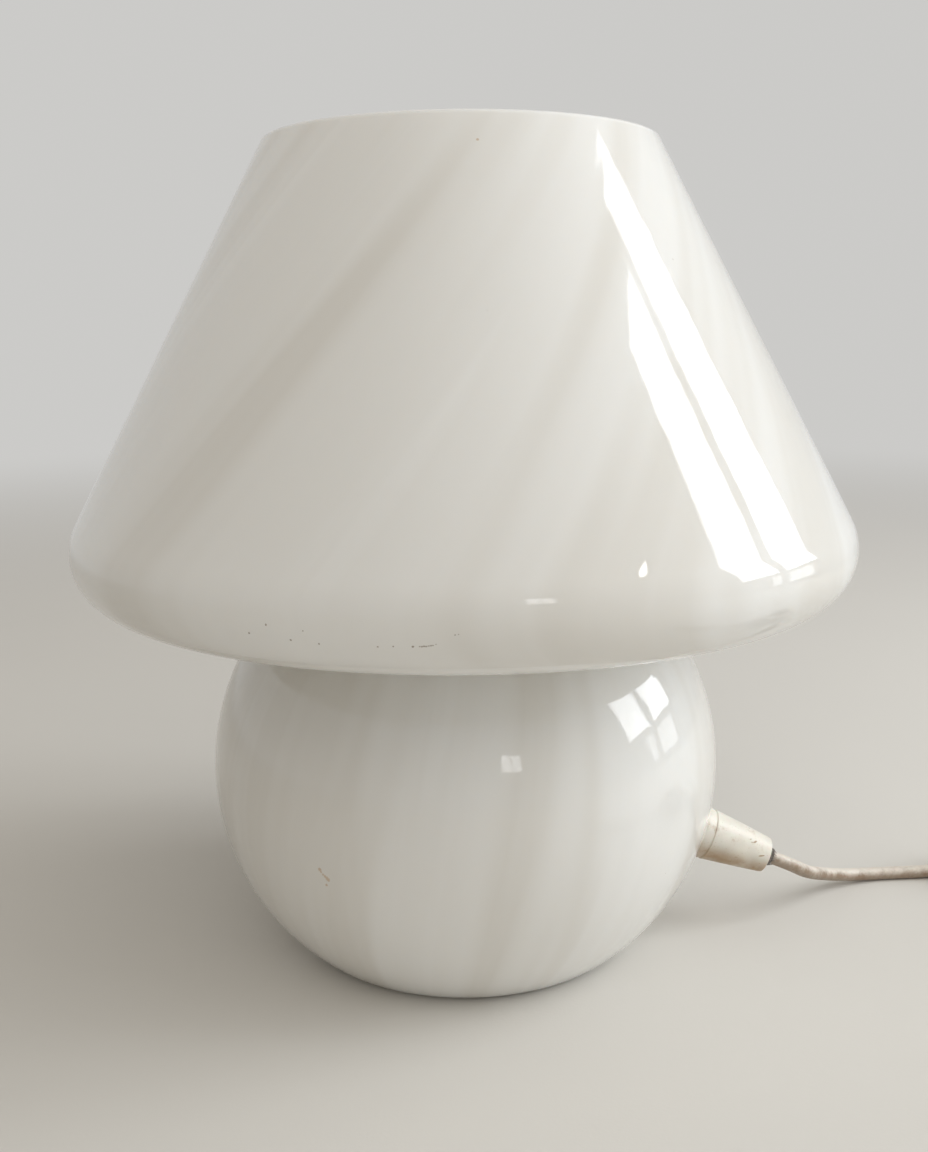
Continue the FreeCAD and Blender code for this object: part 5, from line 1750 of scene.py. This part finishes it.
    def build(self, carried: Iterable[Piece]) -> None:
        """Args:
            carried: Not used.
        """
        route = self.lead() + self.link() + self.coil() + self.tail()
        curve = bpy.data.curves.new("mains_cord", "CURVE")
        curve.dimensions = "3D"
        curve.bevel_depth = self.diameter / 2
        curve.bevel_resolution = curve.resolution_u = 5
        curve.use_fill_caps = True
        spline = curve.splines.new("NURBS")
        spline.points.add(len(route) - 1)
        for control, point in zip(spline.points, route):
            control.co = (*point, 1.0)
        spline.order_u = 3
        spline.use_endpoint_u = True
        cord = shown(curve.name, curve)
        SHEATH.fit(cord, "lamp", "cord_sheath", "cord_lead", "cord_link", "cord_coil", "cord_tail")
        LOG.info("mains cord through %d points", len(route))


@dataclass(frozen=True)
class Softbox:
    """One soft rectangular light that faces a point, by default the middle of the lamp."""

    name: str
    centre: Point
    size: Pair
    watts: float
    colour: RGB
    target: Point = (0.0, 0.0, 0.15)
    in_gloss: bool = True

    def hang(self) -> None:
        """Add the light to the scene."""
        lamp = bpy.data.lights.new(self.name, "AREA")
        lamp.shape = "RECTANGLE"
        lamp.size, lamp.size_y = self.size
        lamp.energy = self.watts
        lamp.color = self.colour
        light = shown(self.name, lamp)
        light.location = self.centre
        facing = Vector(self.target) - Vector(self.centre)
        light.rotation_euler = facing.to_track_quat("-Z", "Y").to_euler()
        if not self.in_gloss:
            light.visible_glossy = False


@dataclass
class Studio:
    """Camera at the photograph's angle, pale floor, soft daylight from the right."""

    photo_width: float = 928.0
    focal_pixels: float = 1236.9
    sensor: float = 36.0
    eye: Point = (0.0, -0.4045, 0.2031)
    pitch: float = 11.236
    roll: float = -0.485
    floor_size: float = 8.0
    panes: tuple[tuple[float, ...], ...] = ((-0.30, -0.012, 0.28, 1.32), (0.062, 0.37, 0.28, 1.50))
    sills: tuple[tuple[float, ...], ...] = ((-0.08, -0.012, 0.05, 0.225), (0.062, 0.30, 0.05, 0.225))
    pane_distance: float = 1.15
    pane_watts: float = 15.5
    sill_watts: float = 5.0
    side_watts: float = 6.0
    fill_watts: float = 7.5
    daylight: RGB = (0.93, 0.965, 1.0)
    far_daylight: RGB = (0.97, 0.985, 1.0)
    lamplight: RGB = (1.0, 0.97, 0.90)
    warm: RGB = (1.0, 0.955, 0.88)
    cool: RGB = (0.87, 0.935, 1.0)
    far_windows: tuple[Point, ...] = ((0.36, -1.15, 0.42), (0.45, -1.15, 0.42))
    far_window_size: Pair = (0.075, 0.16)
    far_window_watts: float = 0.11
    far_lamp: Point = (0.786, -0.612, 0.786)
    far_lamp_size: Pair = (0.045, 0.014)
    far_lamp_watts: float = 0.035
    overhead_fill: Point = (0.2, -0.9, 1.5)
    overhead_size: Pair = (1.6, 1.6)
    side_fill: Point = (1.45, -0.25, 0.55)
    side_size: Pair = (1.0, 1.0)
    fill_aim: Point = (0.0, 0.0, 0.1)
    sky: RGB = (0.965, 0.925, 0.865)
    sky_strength: float = 0.43

    def camera(self) -> None:
        """Stand the camera where the photograph was taken from."""
        lens = bpy.data.cameras.new("photo_camera")
        lens.sensor_fit = "HORIZONTAL"
        lens.sensor_width = self.sensor
        lens.lens = self.focal_pixels * self.sensor / self.photo_width
        lens.clip_start = 0.01
        camera = shown("photo_camera", lens)
        level = Matrix.Rotation(math.radians(90.0 - self.pitch), 4, "X")
        aim = level @ Matrix.Rotation(math.radians(self.roll), 4, "Z")
        camera.matrix_world = Matrix.Translation(self.eye) @ aim
        bpy.context.scene.camera = camera

    def floor(self) -> None:
        """Lay the pale floor."""
        deselect()
        bpy.ops.mesh.primitive_plane_add(size=self.floor_size)
        ground = named("studio_floor")
        PAPER.dress(ground)

    def lights(self) -> Iterable[Softbox]:
        """List a two-pane window on the right with its sill, a far window, a far lamp and two broad fills.

        Yields:
            Each light.
        """
        for name, watts, openings in (("window_pane", self.pane_watts, self.panes),
                                      ("window_sill", self.sill_watts, self.sills)):
            for index, (near, far, low, high) in enumerate(openings):
                y, z, width, height = (near + far) / 2, (low + high) / 2, far - near, high - low
                yield Softbox(f"{name}_{index}", (self.pane_distance, y, z), (width, height),
                              watts * width * height, self.daylight, (0.0, y, z))
        for index, centre in enumerate(self.far_windows):
            yield Softbox(f"far_window_{index}", centre, self.far_window_size, self.far_window_watts,
                          self.far_daylight)
        yield Softbox("far_lamp", self.far_lamp, self.far_lamp_size, self.far_lamp_watts, self.lamplight)
        yield Softbox("overhead_fill", self.overhead_fill, self.overhead_size, self.fill_watts, self.warm,
                      self.fill_aim, False)
        yield Softbox("side_fill", self.side_fill, self.side_size, self.side_watts, self.cool,
                      self.fill_aim, False)

    def world(self) -> None:
        """Light the room softly, and show a pale backdrop to the eye and in gloss and glass."""
        world = bpy.data.worlds.new("studio_world")
        world.use_nodes = True
        graph = Graph(world.node_tree)
        room = graph.tree.nodes["Background"]
        graph.feed(room.inputs["Color"], (*self.sky, 1.0))
        graph.feed(room.inputs["Strength"], self.sky_strength)
        seen = graph.add("Background", {"Color": (*PAPER.backdrop, 1.0), "Strength": 1.0}).outputs[0]
        mix = graph.add("MixShader", {0: graph.watched(), 1: room.outputs[0], 2: seen}).outputs[0]
        graph.feed(graph.tree.nodes["World Output"].inputs["Surface"], mix)
        bpy.context.scene.world = world

    def build(self) -> None:
        """Set up the whole studio."""
        self.camera()
        self.floor()
        for softbox in self.lights():
            softbox.hang()
        self.world()
        bpy.context.scene.view_settings.view_transform = "Standard"
        LOG.info("studio")


def main() -> None:
    """Load the frame, and build the studio and the lamp."""
    logging.basicConfig(level=logging.INFO, format="%(message)s")
    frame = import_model()
    nodes = frame["nodes"]
    Studio().build()
    glass = GlassBody()
    switch = InlineSwitch(nodes).build()
    plug = TwoPinPlug().build()
    sock = CordGrip(glass.outlet).build()
    MainsCord(glass.outlet).build([sock, *switch, *plug])
    glass.build()
    Lampholder(nodes).build()


if __name__ == "__main__":
    main()
